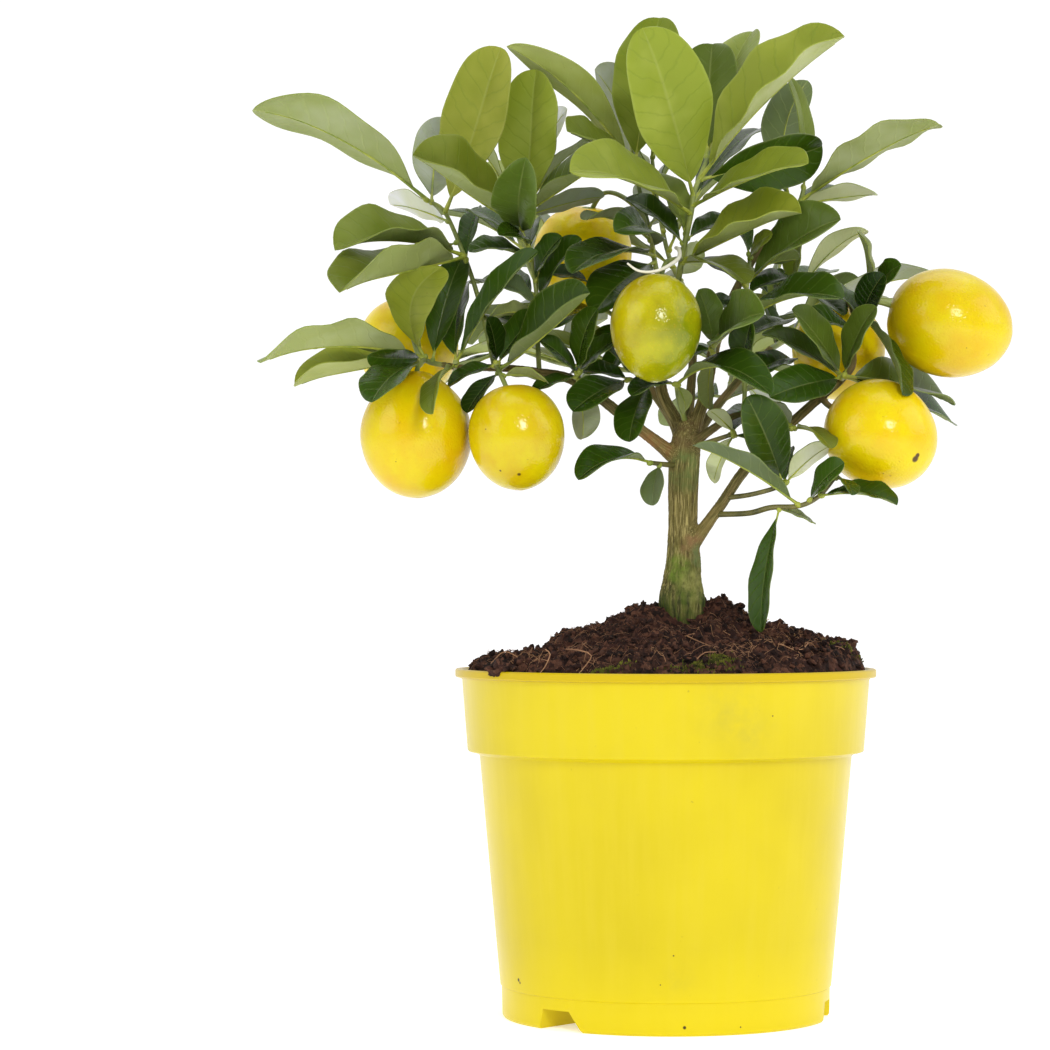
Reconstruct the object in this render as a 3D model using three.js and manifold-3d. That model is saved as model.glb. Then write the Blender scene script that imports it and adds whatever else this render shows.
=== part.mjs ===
// Potted limequat tree: a yellow nursery pot of peat, a young grafted trunk with its limbs, the leafy
// green shoots that grow from them, eight fruits on their stalks and a curl of plant tie.
// Millimetres, +Z up, the front of the plant towards -Y, the origin under the middle of the pot.
import * as THREE from 'three';
import { mergeVertices } from 'three/addons/utils/BufferGeometryUtils.js';
import Module from 'manifold-3d';

const wasm = await Module();
wasm.setup();

// ---- pot
const POT_HEIGHT = 123.5;
const LIP_RADIUS = 75;
const BAND_FOOT = 94.5;        // height of the step under the wide band
const FOOT_RADIUS = 58.4;
const POT_WALL = 1.5;
const POT_SIDES = 32;
const CHANNEL_ANGLES = [-41, 79, 199];   // degrees from the front, towards +X
const CHANNEL_HEIGHT = 7;
const CHANNEL_WIDE = 20;
const CHANNEL_NARROW = 12;
const CHANNEL_SHIFT = 2;        // the roof of a channel lies this far to one side
const CHANNEL_START = 18;      // radius where each drain channel begins
const DRAIN_RADII = [27, 44];
const DRAIN_BORE = 6;

// ---- soil
const SOIL_GAP = 0.3;
const MOUND = [[69.6, 120.4], [67.5, 126], [59, 131], [46, 134.5], [33, 138.5], [21, 143.5], [10.5, 147.5]];
const MOUND_MIDDLE = 148;
const LUMP = 1.5;

// ---- plant
const CLEAR = 0.3;             // air kept between one piece and the next
const BLADE_THICK = 0.86;
const STALK_WIDE = 1.3;        // leaf stalk where it leaves the twig
const STALK_PART = 0.09;       // how much of a leaf's length is bare stalk
const NARROWEST = 0.22;         // leaf width over its length, at least
const WIDEST = 0.56;            // and at most
const TWIG_BARE = 0.55;         // no leaf nearer the start of a twig than this part of its first length
const TWIG_LAST = 0.97;         // nor nearer its end than this
const TRUNK_SIDES = 10;
const LIMB_SIDES = 5;
const TWIG_SIDES = 4;
const TIE_SIDES = 6;
const FRUIT_SIDES = 12;
const FRUIT_RINGS = 8;
const LONG_LEAF = 52;
const LONG_STEPS = [0.31, 0.56, 0.8, 1];     // where a long leaf and a shorter one bend
const SHORT_STEPS = [0.38, 0.71, 1];
const TIP_SHIFTS = [0, -5, 5, -10, 10, -15, 15, -20, 20, -26, 26, -32, 32, -40, 40];

// The plant is set out on a front elevation in central perspective. EYE is the station, and each
// point is drawn as [x, z, y]: its place on the elevation and how far it lies behind the pot's axis.
const EYE = new THREE.Vector3(-50, -1193, 154);

// Woody limbs: drawn points with their radius.
const TRUNK = [[6.2, 96, 0, 7], [6.1, 140, 0, 8.2], [6, 148, 0, 8.5], [6.1, 155, 0, 7.1], [6.6, 163, 0, 6.2],
  [6.4, 177, 0, 5.3], [6.5, 190, 0, 5.5], [7.4, 203, 0, 5.5], [8, 209, 0, 4.6], [8.2, 213.5, 0, 2.6]];
const LIMBS = {
  left: [[4, 199, 0, 2.6], [-9, 209, -4, 2.1], [-31, 225.5, -8, 1.9], [-45, 229.5, -8, 1.5],
    [-60, 231, -5, 1.4], [-72, 231, -1, 1.2], [-80, 232.2, 1.5, 1.1]],
  upLeft: [[6.5, 205, 1, 2.4], [4, 212, 2, 2.3], [-1, 222, 4, 2.2], [-2, 238, 8, 1.8], [2, 254, 6, 1.5],
    [5, 262, 3, 1.3]],
  upRight: [[9.5, 206, 0, 2.4], [11.5, 213, -1, 2.4], [14.5, 222, 0, 2.2], [18, 240, 4, 2.1],
    [22, 250, 8, 1.9], [27, 262, 14, 1.5], [36, 276, 18, 1.2], [44, 286, 16, 1.1]],
  right: [[9, 167, 0, 2.6], [12, 171, -2, 2.4], [20, 182, -4, 2], [29, 195, -8, 1.9], [44, 210, -9, 1.8],
    [55, 220, -7, 1.7], [62, 226, -4, 1.7], [67, 232, 0, 1.4], [67, 240, 3, 1.2]],
  rightShort: [[10, 204, -2, 1.9], [14, 207, -5, 1.6], [23, 213, -8, 1.3], [29, 215, -9, 1.1]],
  backLeft: [[6, 203, 2, 2.2], [2, 213, 14, 1.8], [-10, 230, 32, 1.5], [-22, 244, 44, 1.3]],
  backMiddle: [[7, 207, 2, 2.2], [9, 220, 16, 1.8], [10, 240, 32, 1.5], [8, 258, 42, 1.3]],
  backRight: [[9, 201, 2, 2.2], [14, 211, 14, 1.8], [26, 226, 32, 1.5], [38, 238, 44, 1.3]],
  stalk7: [[56.5, 221, -6, 1.2], [57.5, 218.5, -10, 1.1], [66, 212, -14, 1.1]],
  stalk8: [[67, 236, 2, 1.1], [68, 248, 8, 1], [65, 254.5, 18, 1], [62, 248, 27, 1]],
};

// Fruits: drawn middle [x, z, y], half width, half length, and the way from stalk to nipple.
const FRUITS = {
  fruit_1: { middle: [-89, 205.5, -13], wide: 19.7, long: 21.2, way: [0.05, -0.1, -1] },
  fruit_2: { middle: [-53, 205.8, -27], wide: 16.8, long: 18.5, way: [0.1, -0.1, -1] },
  fruit_3: { middle: [-91.8, 237.5, 31], wide: 18.3, long: 19, way: [0, 0.3, -1] },
  fruit_4: { middle: [-29.5, 270.5, 32], wide: 18, long: 18.6, way: [-0.1, 0.2, -1] },
  fruit_5: { middle: [-3.3, 245, -33], wide: 15.9, long: 19, way: [-0.04, -0.05, -1] },
  fruit_6: { middle: [102.3, 246.7, 5], wide: 19.3, long: 22.5, way: [0.95, -0.15, -0.25] },
  fruit_7: { middle: [77.6, 206.8, -16], wide: 19, long: 20.3, way: [0.72, -0.42, -0.5] },
  fruit_8: { middle: [62, 236.5, 27], wide: 17, long: 17.6, way: [-0.05, 0.25, -1] },
};

// Plant tie: drawn points with radius, a tapering curl in front of the middle shoot.
const TIE = [[-13.5, 268.5, -34, 0.35], [-10, 266, -34, 0.45], [-6, 265.3, -34, 0.55], [-2, 266, -33, 0.6],
  [2, 268, -27, 0.7], [4.9, 270.4, -20, 0.75], [5.2, 272.8, -12, 0.75], [4.4, 273.9, -5, 0.75],
  [4.1, 273.9, 0.6, 0.7], [6.3, 273.4, 3.5, 0.6]];

// Leafy shoots. twigs: drawn points with radius, the first one inside the limb it grows from.
// leaves: [foot x, foot z, tip x, tip z, drawn width, turn, fold, bow, tip y, sway].
// turn is 0 where the upper side faces the front, 90 where it faces the sky and 180 where the
// underside faces the front. fold is how far each half rises from the midrib, both in degrees.
// bow is the rise of the arch over the leaf's length, and sway its bend to the side. The inner
// leaves fill the crown behind the others.
const SHOOTS = {
  shoot_top_left: {
    twigs: [[[-61, 231, -4, 1], [-64, 245, 4, 0.95], [-68, 260, 8, 0.95], [-73, 274, 8, 0.9],
      [-79, 287, 6, 0.85], [-85, 291, 6, 0.8]]],
    leaves: [
      [-85, 291, -147, 325, 11.5, 112, 14, 0.07, -10], [-78, 287, -60, 346, 23, 28, 16, -0.04, -14],
      [-70, 272, -118, 274.5, 12.5, 70, 33, 0.07, -26], [-74, 270, -117, 260, 13, 78, 36, 0, -40],
      [-74, 276.5, -90, 263, 4.5, 84, 14, 0.08, -12], [-76, 284, -98, 290, 6, 112, 12, 0.03, 34],
      [-83, 291, -80, 320, 15, 150, 10, 0.04, 30], [-69, 270, -67, 289, 7, 40, 20, 0.05, 22],
    ],
  },
  shoot_left_middle: {
    twigs: [[[-45, 229.5, -8, 1.05], [-45.5, 240, -7, 1], [-45.5, 252, -5, 0.95], [-46.5, 262, -3, 0.95],
      [-48, 272, -1, 0.9], [-51.5, 281, 0, 0.85], [-50, 287, 1, 0.8]]],
    leaves: [
      [-54, 283, -89, 308.5, 16, 60, 42, -0.03, -34], [-50, 284, -47, 338, 21.5, 30, 14, -0.03, -10],
      [-51.5, 280, -50, 306, 15.5, 24, 30, 0.08, -30], [-46, 286, -22, 305, 11, 70, 32, 0, -30],
      [-46, 284, -22, 293, 6, 125, 14, 0.03, 14], [-48, 288, -36, 324, 6, 116, 14, 0.05, 34],
      [-44, 262, -37, 278, 8, 58, 22, 0.08, -16], [-44, 255, -30, 277, 8, 62, 18, 0.06, -28],
      [-48, 252, -60, 262, 9, 58, 20, 0.08, -18], [-49, 250, -64, 248.5, 6, 112, 12, 0.1, -26],
      [-52, 269, -70, 273, 7, 64, 18, 0.1, -14], [-50, 274, -59, 279, 5, 60, 14, 0.1, -20],
      [-48, 273, -46, 285, 6, 40, 14, 0.05, -22],
    ],
    inner: [
      [-45.5, 240, -63, 250, 10, 52, 16, 0.06, 18], [-45.5, 243, -26, 251, 10, 56, 16, 0.06, 16],
      [-46, 257, -67, 262, 9, 58, 16, 0.06, 24], [-46.5, 264, -28, 262, 9, 60, 16, 0.08, 6],
      [-49, 275, -70, 288, 9, 56, 16, 0.06, 20],
    ],
  },
  shoot_middle: {
    twigs: [[[4.5, 261, 3.4, 1.25], [7, 275, 0, 1.15], [9.5, 287, -3, 1.05], [10.5, 294, -3, 1],
      [14, 303, 1, 0.9], [16, 309, 5, 0.8]],
    [[6, 270, 1.2, 1], [4, 270, -12, 0.95], [0, 268, -24, 0.95], [-2.6, 258, -32, 0.95]]],
    leaves: [
      [8.6, 292.5, -7, 352.5, 29, 16, 16, 0.03, -34], [6, 287, -33, 303, 13, 60, 26, 0.05, -44],
      [6.5, 278.5, -3, 301, 12, 46, 20, 0.06, -20], [10, 289, 51, 305, 9, 62, 24, 0.03, -46],
      [13, 298, 64.5, 350, 16.5, 62, 34, 0.05, -22], [18, 296, 57, 310, 18, -30, 20, 0, 6],
      [15, 306, 17, 347.5, 21, 20, 18, 0.02, 20], [18, 305, 30.5, 353, 14, 44, 18, 0.03, 8],
      [8, 269, 48, 288, 13, 66, 34, 0.01, -28],
      [6, 266, 29, 262, 7, 68, 14, 0.09, -24],
    ],
    inner: [
      [7.5, 277, 27, 284, 8, 58, 16, 0.08, 12], [7, 275, -14, 292, 8, 58, 16, 0.08, 22],
      [10, 290, 34, 318, 10, 56, 16, 0.05, 24],
    ],
  },
  shoot_middle_left: {
    twigs: [[[1.6, 252, 6, 1.1], [-3, 266, 12, 1], [-5, 278, 12, 0.95], [-8, 290, 9, 0.9],
      [-11, 303, 8, 0.8]],
      [[-5, 278, 12, 0.9], [-12, 290, 20, 0.9], [-22, 293.5, 28, 0.9], [-29, 282, 32, 0.9]]],
    leaves: [
      [-12, 304, -56, 347, 9.5, 116, 14, 0.075, -16], [-10, 303, -35, 316, 9, 64, 22, 0.02, -28],
      [-9, 303, -2, 356.7, 23, 24, 14, 0.02, 22], [-11, 304, -24, 338, 11, 118, 14, 0.06, 30],
      [-7, 276, -28, 285, 5, 100, 16, 0.1, -12], [-4, 273, -17, 281, 8, 58, 20, 0.1, -22],
      [-6, 282, 4, 285, 5, 108, 10, 0.1, 24], [-3, 269, -25, 251.5, 15, 38, 18, 0.06, -50],
      [-5, 271, -33, 267, 9, 62, 18, 0.06, -34],
    ],
  },
  shoot_right_middle: {
    twigs: [[[28, 214.6, -9, 0.95], [28.5, 222, -10, 0.95], [28, 231, -10, 0.95], [25, 238, -9, 0.9],
      [26.5, 246, -8, 0.9], [29.5, 261, -6, 0.85], [30.5, 272, -5, 0.75]]],
    leaves: [
      [28.5, 230, 31, 248, 9, 50, 20, 0.04, -30], [26, 246, 63, 257, 8, 70, 24, 0.1, -40],
      [30, 262, 62, 285, 14.5, 58, 28, 0.04, -34], [30.5, 264, 48, 270, 5, 100, 14, 0.08, 4],
      [30.5, 270, 38, 279, 4, 60, 10, 0.08, -14],
    ],
    inner: [
      [28.3, 225, 45, 235, 9, 52, 16, 0.06, 8],
      [25.5, 240, 44, 248, 9, 56, 16, 0.06, 12], [29, 257, 47, 263, 8, 60, 16, 0.08, 14],
      [29.5, 260, 13, 270, 9, 56, 16, 0.06, 2], [28.5, 252, 11, 253, 8, 56, 16, 0.06, 6],
      [30.5, 271, 22, 288, 8, 56, 14, 0.08, 2],
    ],
  },
  shoot_right_top: {
    twigs: [[[43, 284.5, 16, 1], [48, 290, 12, 0.9], [50, 296, 12, 0.8]]],
    leaves: [
      [48.5, 290.5, 98, 319.3, 8.5, 108, 14, 0.03, -18], [48, 289, 76, 293.5, 5.5, 106, 12, 0.02, 2],
      [48, 288, 65, 296, 6, 62, 14, 0.04, 30], [50, 295, 45, 336, 5.5, 50, 10, 0.08, 22],
      [45, 287.5, 51, 334, 14, 140, 14, 0.04, 36, 0.12],
    ],
  },
  shoot_right_behind: {
    twigs: [[[24, 255, 10.5, 1], [32, 257, 18, 0.9], [42, 256, 22, 0.85], [50, 261, 24, 0.8]]],
    leaves: [
      [46, 257, 48, 276, 7, 56, 16, 0.04, 20], [39, 255, 40, 266, 6, 60, 12, 0.04, 14],
      [50, 261, 72, 281, 6.5, 122, 16, 0.06, 10, 0.04],
    ],
    inner: [
      [38, 256, 22, 268, 8, 60, 14, 0.08, 26], [42, 256, 60, 266, 8, 56, 14, 0.06, 34],
      [34, 256, 40, 240, 8, 60, 14, 0.06, 24], [48, 259, 64, 250, 8, 60, 14, 0.06, 36],
    ],
  },
  shoot_left_end: {
    twigs: [[[-79, 232, 1.2, 1.05], [-84, 233, 2.5, 1.05], [-88, 235.5, 3, 1], [-90, 241, 6, 0.9]],
      [[-88, 235.5, 3, 1], [-89, 246, 6, 0.9], [-91.5, 256.5, 18, 0.9], [-92, 250, 28, 0.9]],
      [[-86, 234, 2.8, 1], [-88.5, 231, -8, 0.95], [-90, 221, -15, 0.95]]],
    leaves: [
      [-85, 235.5, -80, 267, 17.5, 30, 14, 0.04, -14, -0.25], [-83, 234.5, -73, 271, 12.5, 26, 20, 0.05, 10],
      [-87, 234, -145, 233.5, 8, 102, 16, 0.08, -24], [-88, 234, -133, 226, 12, 70, 34, 0, 4],
      [-87, 233.5, -106, 235, 8, -40, 18, 0.02, -16], [-87, 232, -105, 219, 11, 50, 18, 0.06, -42],
    ],
  },
  shoot_left_limb_end: {
    twigs: [[[-75, 231, 0, 0.95], [-75, 233, -6, 0.85]]],
    leaves: [
      [-75, 232, -46, 273, 7, 62, 24, 0.05, -20], [-75, 231, -83.4, 215, 4.5, 60, 26, 0.06, -40],
    ],
    inner: [
      [-74, 232.5, -72, 262, 10, 48, 18, 0.04, 16],
    ],
  },
  shoot_left_limb: {
    twigs: [[[-60, 231, -5, 1.1], [-60.5, 232.5, -11, 0.9]],
      [[-60.3, 231.8, -8, 1], [-59, 229, -18, 0.95], [-54.5, 219, -26, 0.95]]],
    leaves: [
      [-61, 232, -63.5, 249, 9, 48, 18, 0.05, -20], [-60, 232, -45, 251, 12, 44, 20, 0.05, -28],
      [-59, 231, -27, 258, 12, 66, 38, -0.02, -44], [-61, 229, -71, 215, 8, 56, 16, 0.04, -22],
      [-58, 228.5, -42, 226, 5, 108, 12, 0.08, -26],
    ],
    inner: [
      [-60.5, 232, -78, 224, 8, 60, 16, 0.08, -6],
    ],
  },
  shoot_left_node: {
    twigs: [[[-31, 225.5, -8, 1.1], [-31, 229, -14, 0.9]]],
    leaves: [
      [-31, 229, -18, 241, 8, 56, 16, 0.06, -26], [-31, 229, -25, 252, 8, 52, 14, 0.06, -20],
      [-30, 224, -29, 205.5, 12, 140, 14, 0.04, -12],
    ],
    inner: [
      [-31, 228.5, -45, 241, 8, 56, 14, 0.06, -22], [-31, 228, -48, 222, 8, 62, 14, 0.06, -20],
    ],
  },
  shoot_behind_left: {
    twigs: [[[-2, 240, 7.5, 1.1], [-12, 246, 18, 0.95], [-22, 252, 24, 0.85]]],
    leaves: [],
    inner: [
      [-12, 246, -28, 238, 9, 56, 16, 0.06, 14], [-16, 248, -14, 266, 9, 56, 16, 0.06, 18],
      [-22, 252, -42, 246, 9, 58, 16, 0.06, 20],
      [-10, 245, -20, 229, 9, 50, 16, 0.06, 12],
    ],
  },
  shoot_inner_left: {
    twigs: [[[-1.4, 225, 4.6, 1.1], [-8, 226, -4, 0.95], [-14, 227, -8, 0.85]]],
    leaves: [
      [-13, 227, -33, 215.5, 13, 46, 18, 0.06, -26], [-9, 226, -22, 242, 9, 50, 16, 0.06, -16],
      [-6, 225, -13, 205, 11, 40, 16, 0.05, -14],
    ],
    inner: [
      [-12, 227, -34, 229, 9, 62, 16, 0.08, -30], [-5, 225.5, 4, 240, 8, 50, 16, 0.05, -10],
    ],
  },
  shoot_fork: {
    twigs: [[[7.5, 211, -1, 1.2], [5, 219, -8, 0.95], [4, 225.5, -12, 0.85]]],
    leaves: [
      [5, 225, 38, 221.5, 8, 62, 26, 0.2, -26], [3.5, 226, -12, 221.5, 8, 62, 18, 0.08, -26],
      [6, 226, 7.5, 215.5, 5, 140, 10, 0.08, -20],
    ],
  },
  shoot_inner_right: {
    twigs: [[[17, 235, 3, 1.2], [17.5, 239, -6, 0.9]]],
    leaves: [
      [17.5, 239, 12, 259, 11, 34, 16, 0.04, -18], [17.5, 239, 34, 251.5, 10, 60, 30, 0.02, -16],
      [18, 236, 15.5, 216, 6, 130, 12, 0.05, -12],
    ],
    inner: [
      [17.5, 238, 4, 233, 8, 60, 14, 0.06, 2],
    ],
  },
  shoot_right_end: {
    twigs: [[[67, 238.5, 2.6, 1.1], [68.5, 245, 3, 0.95], [71, 251, 4, 0.9], [76, 258, 6, 0.8]],
      [[71, 251, 4, 0.95], [76, 254.5, 4, 0.95], [88, 250.5, 5, 0.95]]],
    leaves: [
      [70, 248, 78, 264.5, 12, 40, 18, 0.05, -12], [76, 258, 84, 268, 6, 60, 14, 0.08, -10],
      [71, 250, 85.5, 221.5, 5.5, 70, 22, 0.05, -30],
      [68, 243, 50, 248, 10, 56, 20, 0.08, -14], [72, 254, 70, 280, 4, 80, 14, 0.05, -8],
    ],
    inner: [
      [70, 249, 56, 262, 8, 60, 16, 0.06, 14],
    ],
  },
  shoot_right_limb: {
    twigs: [[[63, 227, -3.4, 1.2], [64, 228, -11, 0.95]]],
    leaves: [
      [62, 228, 46, 252, 10, 46, 20, 0.03, -24], [63, 226.5, 38, 221, 14, 28, 14, 0.04, -30],
      [66, 227, 75, 253, 7, 58, 20, 0.05, -26], [66, 227, 101, 219, 11, 62, 20, 0.04, 14],
      [66, 226, 103, 211.3, 9, 60, 18, 0.02, 30],
      [62, 229, 35, 243.5, 8, 56, 18, 0.06, -10],
    ],
  },
  shoot_right_limb_low: {
    twigs: [[[44, 210, -9, 1.1], [46, 209.5, -15, 0.9]]],
    leaves: [
      [46, 208.5, 59, 202.5, 5, 70, 14, 0.1, -28], [45, 211, 38, 219, 5, 112, 12, 0.06, -20],
      [46, 209, 36, 204, 6, 60, 12, 0.08, -22],
    ],
  },
  shoot_fork_right: {
    twigs: [[[12, 203, -2, 1.2], [19, 205.5, -10, 0.9], [25, 207.5, -14, 0.8]]],
    leaves: [
      [25, 208, 16, 216, 5, 140, 12, 0.06, -22], [25, 207, 17, 190, 6, 128, 14, 0.06, -18],
    ],
    inner: [
      [24, 207.5, 40, 200, 8, 58, 16, 0.08, -6], [23, 207, 36, 217, 8, 60, 16, 0.06, 8],
    ],
  },
  shoot_low_right: {
    twigs: [[[18.5, 178.5, -3.4, 1.2], [30, 179, -14, 1.1], [38, 181, -20, 1.05], [48, 181.6, -24, 0.95],
      [55, 185, -26, 0.85], [61, 192, -28, 0.8]]],
    leaves: [
      [48, 182, 10.5, 203.5, 4.5, 102, 18, 0.04, -40], [51, 184, 64, 197, 6, 58, 16, 0.06, -40],
      [55, 185.5, 83, 182.5, 6.5, 66, 20, 0.08, -38], [61, 193, 67, 186, 4, 60, 14, 0.08, -34],
      [41, 180.4, 34, 136.5, 6.5, 54, 20, 0.04, -34], [40, 180, 53.5, 175.5, 2.6, 70, 10, 0.02, -26],
    ],
  },
  shoot_low_right_upper: {
    twigs: [[[22, 184.5, -4.8, 1.1], [30, 185.5, -12, 0.95], [38, 187.5, -15, 0.9], [43, 189.5, -16, 0.85]]],
    leaves: [
      [42, 189.5, 29.5, 220.5, 16.5, 22, 16, 0.04, -26], [43, 189.5, 59, 203.5, 12, 132, 14, 0.06, -22],
      [42.5, 190, 45, 203, 5, 56, 12, 0.04, -10],
    ],
  },
  shoot_trunk: {
    twigs: [[[5, 196, -1, 1.3], [-1, 196.5, -8, 1], [-5, 197, -12, 0.85]]],
    leaves: [
      [-5, 197.5, -31, 191.5, 6.5, 66, 24, 0.13, -32], [-2, 196.5, -4.5, 182, 8, 40, 16, 0.05, -18],
    ],
  },
};

// Shoots at the back of the crown: twig points in millimetres [x, y, z, radius], and their leaves.
const BACK_SHOOTS = {
  shoot_back_left: { twig: [[-21, 44, 247, 1.1], [-42, 62, 262, 1], [-52, 74, 284, 0.9], [-56, 80, 300, 0.8]],
    leaves: 8, first: 0 },
  shoot_back_middle: { twig: [[10, 41.5, 261, 1.1], [4, 56, 276, 1], [0, 66, 298, 0.9], [-2, 70, 316, 0.8]],
    leaves: 8, first: 3 },
  shoot_back_right: { twig: [[41, 43.5, 240.7, 1.1], [52, 58, 248, 1], [60, 70, 254, 0.9], [64, 78, 258, 0.8]],
    leaves: 7, first: 7 },
  shoot_back_low_left: { twig: [[-8.9, 32, 232, 1.1], [-34, 60, 236, 1], [-54, 82, 244, 0.9]],
    leaves: 6, first: 2 },
  shoot_back_low_right: { twig: [[20, 21, 218, 1.1], [26, 54, 226, 1], [30, 86, 238, 0.9]],
    leaves: 6, first: 0 },
};
const BACK_LEAF = 50;
const GOLDEN_TURN = THREE.MathUtils.degToRad(137.5);

// ---- materials
const paint = (color, roughness) => new THREE.MeshStandardMaterial({ color, roughness, metalness: 0 });
const POT_PLASTIC = paint(0xecc41e, 0.4);
const PEAT = paint(0x3a2320, 0.95);
const BARK = paint(0x6f6330, 0.8);
const LEAF = paint(0x5f7a26, 0.4);
const PEEL = paint(0xe8cf10, 0.35);
const CREAM = paint(0xdcd9c5, 0.6);

// ---- helpers
const vec = (x, y, z) => new THREE.Vector3(x, y, z);
const degrees = THREE.MathUtils.degToRad;

// A number from 0 to 1 that looks random but is always the same for the same n.
function scatter(n) {
  const big = Math.sin(n * 12.9898) * 43758.5453;
  return big - Math.floor(big);
}

// A drawn point, carried along its sight line to its depth.
function onSight([x, z, y]) {
  const scale = (y - EYE.y) / -EYE.y;
  return vec(EYE.x + (x - EYE.x) * scale, y, EYE.z + (z - EYE.z) * scale);
}

function toSolid(geometry) {
  const bare = geometry.clone();
  bare.deleteAttribute('normal');
  bare.deleteAttribute('uv');
  const merged = mergeVertices(bare, 1e-4);
  const index = merged.index.array;
  const kept = [];
  for (let i = 0; i < index.length; i += 3) {
    const [a, b, c] = [index[i], index[i + 1], index[i + 2]];
    if (a !== b && b !== c && c !== a) kept.push(a, b, c);
  }
  const vertProperties = new Float32Array(merged.attributes.position.array);
  return new wasm.Manifold(new wasm.Mesh({ numProp: 3, vertProperties, triVerts: new Uint32Array(kept) }));
}

function toGeometry(solid) {
  const mesh = solid.getMesh();
  const geometry = new THREE.BufferGeometry();
  geometry.setAttribute('position', new THREE.BufferAttribute(new Float32Array(mesh.vertProperties), 3));
  geometry.setIndex(new THREE.BufferAttribute(new Uint32Array(mesh.triVerts), 1));
  geometry.computeVertexNormals();
  return geometry;
}

const joined = (solids) => solids.reduce((all, one) => all.add(one));

// A round rod through spine points {at, radius}, with flat ends.
function rod(spine, sides, grow = 0) {
  const geometry = new THREE.CylinderGeometry(1, 1, 1, sides, spine.length - 1);
  const frames = spine.map((_, i) => {
    const along = spine[Math.min(i + 1, spine.length - 1)].at.clone().sub(spine[Math.max(i - 1, 0)].at);
    return along.normalize();
  });
  const across = vec(1, 0, 0).addScaledVector(frames[0], -frames[0].x);
  if (across.length() < 0.3) across.set(0, 1, 0).addScaledVector(frames[0], -frames[0].y);
  const sideways = frames.map((along) => {
    across.addScaledVector(along, -across.dot(along)).normalize();
    return across.clone();
  });
  const position = geometry.attributes.position;
  for (let i = 0; i < position.count; i += 1) {
    const ring = Math.round((position.getY(i) + 0.5) * (spine.length - 1));
    const radius = spine[ring].radius + grow;
    const past = ring === 0 ? -grow : ring === spine.length - 1 ? grow : 0;
    const up = vec().crossVectors(frames[ring], sideways[ring]);
    const point = spine[ring].at.clone().addScaledVector(sideways[ring], position.getX(i) * radius)
      .addScaledVector(up, -position.getZ(i) * radius).addScaledVector(frames[ring], past);
    position.setXYZ(i, point.x, point.y, point.z);
  }
  return toSolid(geometry);
}

const drawnSpine = (points) => points.map((p) => ({ at: onSight(p), radius: p[3] }));

// Width of a leaf along its length from stalk to tip, 1 at its widest.
function bladeWidth(s) {
  const t = Math.max((s - STALK_PART) / (1 - STALK_PART), 0);
  return (1 - Math.abs(2 * t - 1) ** 2.4) ** 0.7;
}

// The middle line of a leaf and its half widths.
// leaf: foot and tip as points, wide, turn, fold, bow, sway.
function leafRows(leaf) {
  const length = leaf.foot.distanceTo(leaf.tip);
  const along = leaf.tip.clone().sub(leaf.foot).normalize();
  const toFront = vec(0, -1, 0).addScaledVector(along, along.y).normalize();
  const toSky = vec().crossVectors(along, toFront).multiplyScalar(along.x > 0 ? -1 : 1);
  const upper = toFront.multiplyScalar(Math.cos(leaf.turn)).addScaledVector(toSky, Math.sin(leaf.turn));
  const side = vec().crossVectors(along, upper);
  const steps = length > LONG_LEAF ? LONG_STEPS : SHORT_STEPS;
  const rows = [STALK_PART, ...steps].map((s) => {
    const arch = length * 4 * s * (1 - s);
    const at = leaf.foot.clone().addScaledVector(along, length * s).addScaledVector(upper, leaf.bow * arch)
      .addScaledVector(side, leaf.sway * arch);
    const blade = s > STALK_PART;
    const wide = blade ? leaf.wide * bladeWidth(s) : STALK_WIDE;
    return { at, half: wide / 2, rise: blade ? leaf.fold : 0 };
  });
  return { rows: [{ at: leaf.foot, half: STALK_WIDE / 2, rise: 0 }, ...rows], upper, side };
}

// Triangles between a row of points and the next row, numbered on from it. Blades have rows of 3,
// stalks 2 above and 1 below, tips 1.
const STRIPS = {
  '1-1': [], '2-2': [[0, 1, 3], [0, 3, 2]], '2-3': [[0, 3, 2], [0, 1, 3], [1, 4, 3]],
  '1-3': [[0, 2, 1], [0, 3, 2]],
  '3-3': [[0, 1, 4], [0, 4, 3], [5, 4, 1], [5, 1, 2]], '3-1': [[0, 1, 3], [1, 2, 3]],
};

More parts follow.
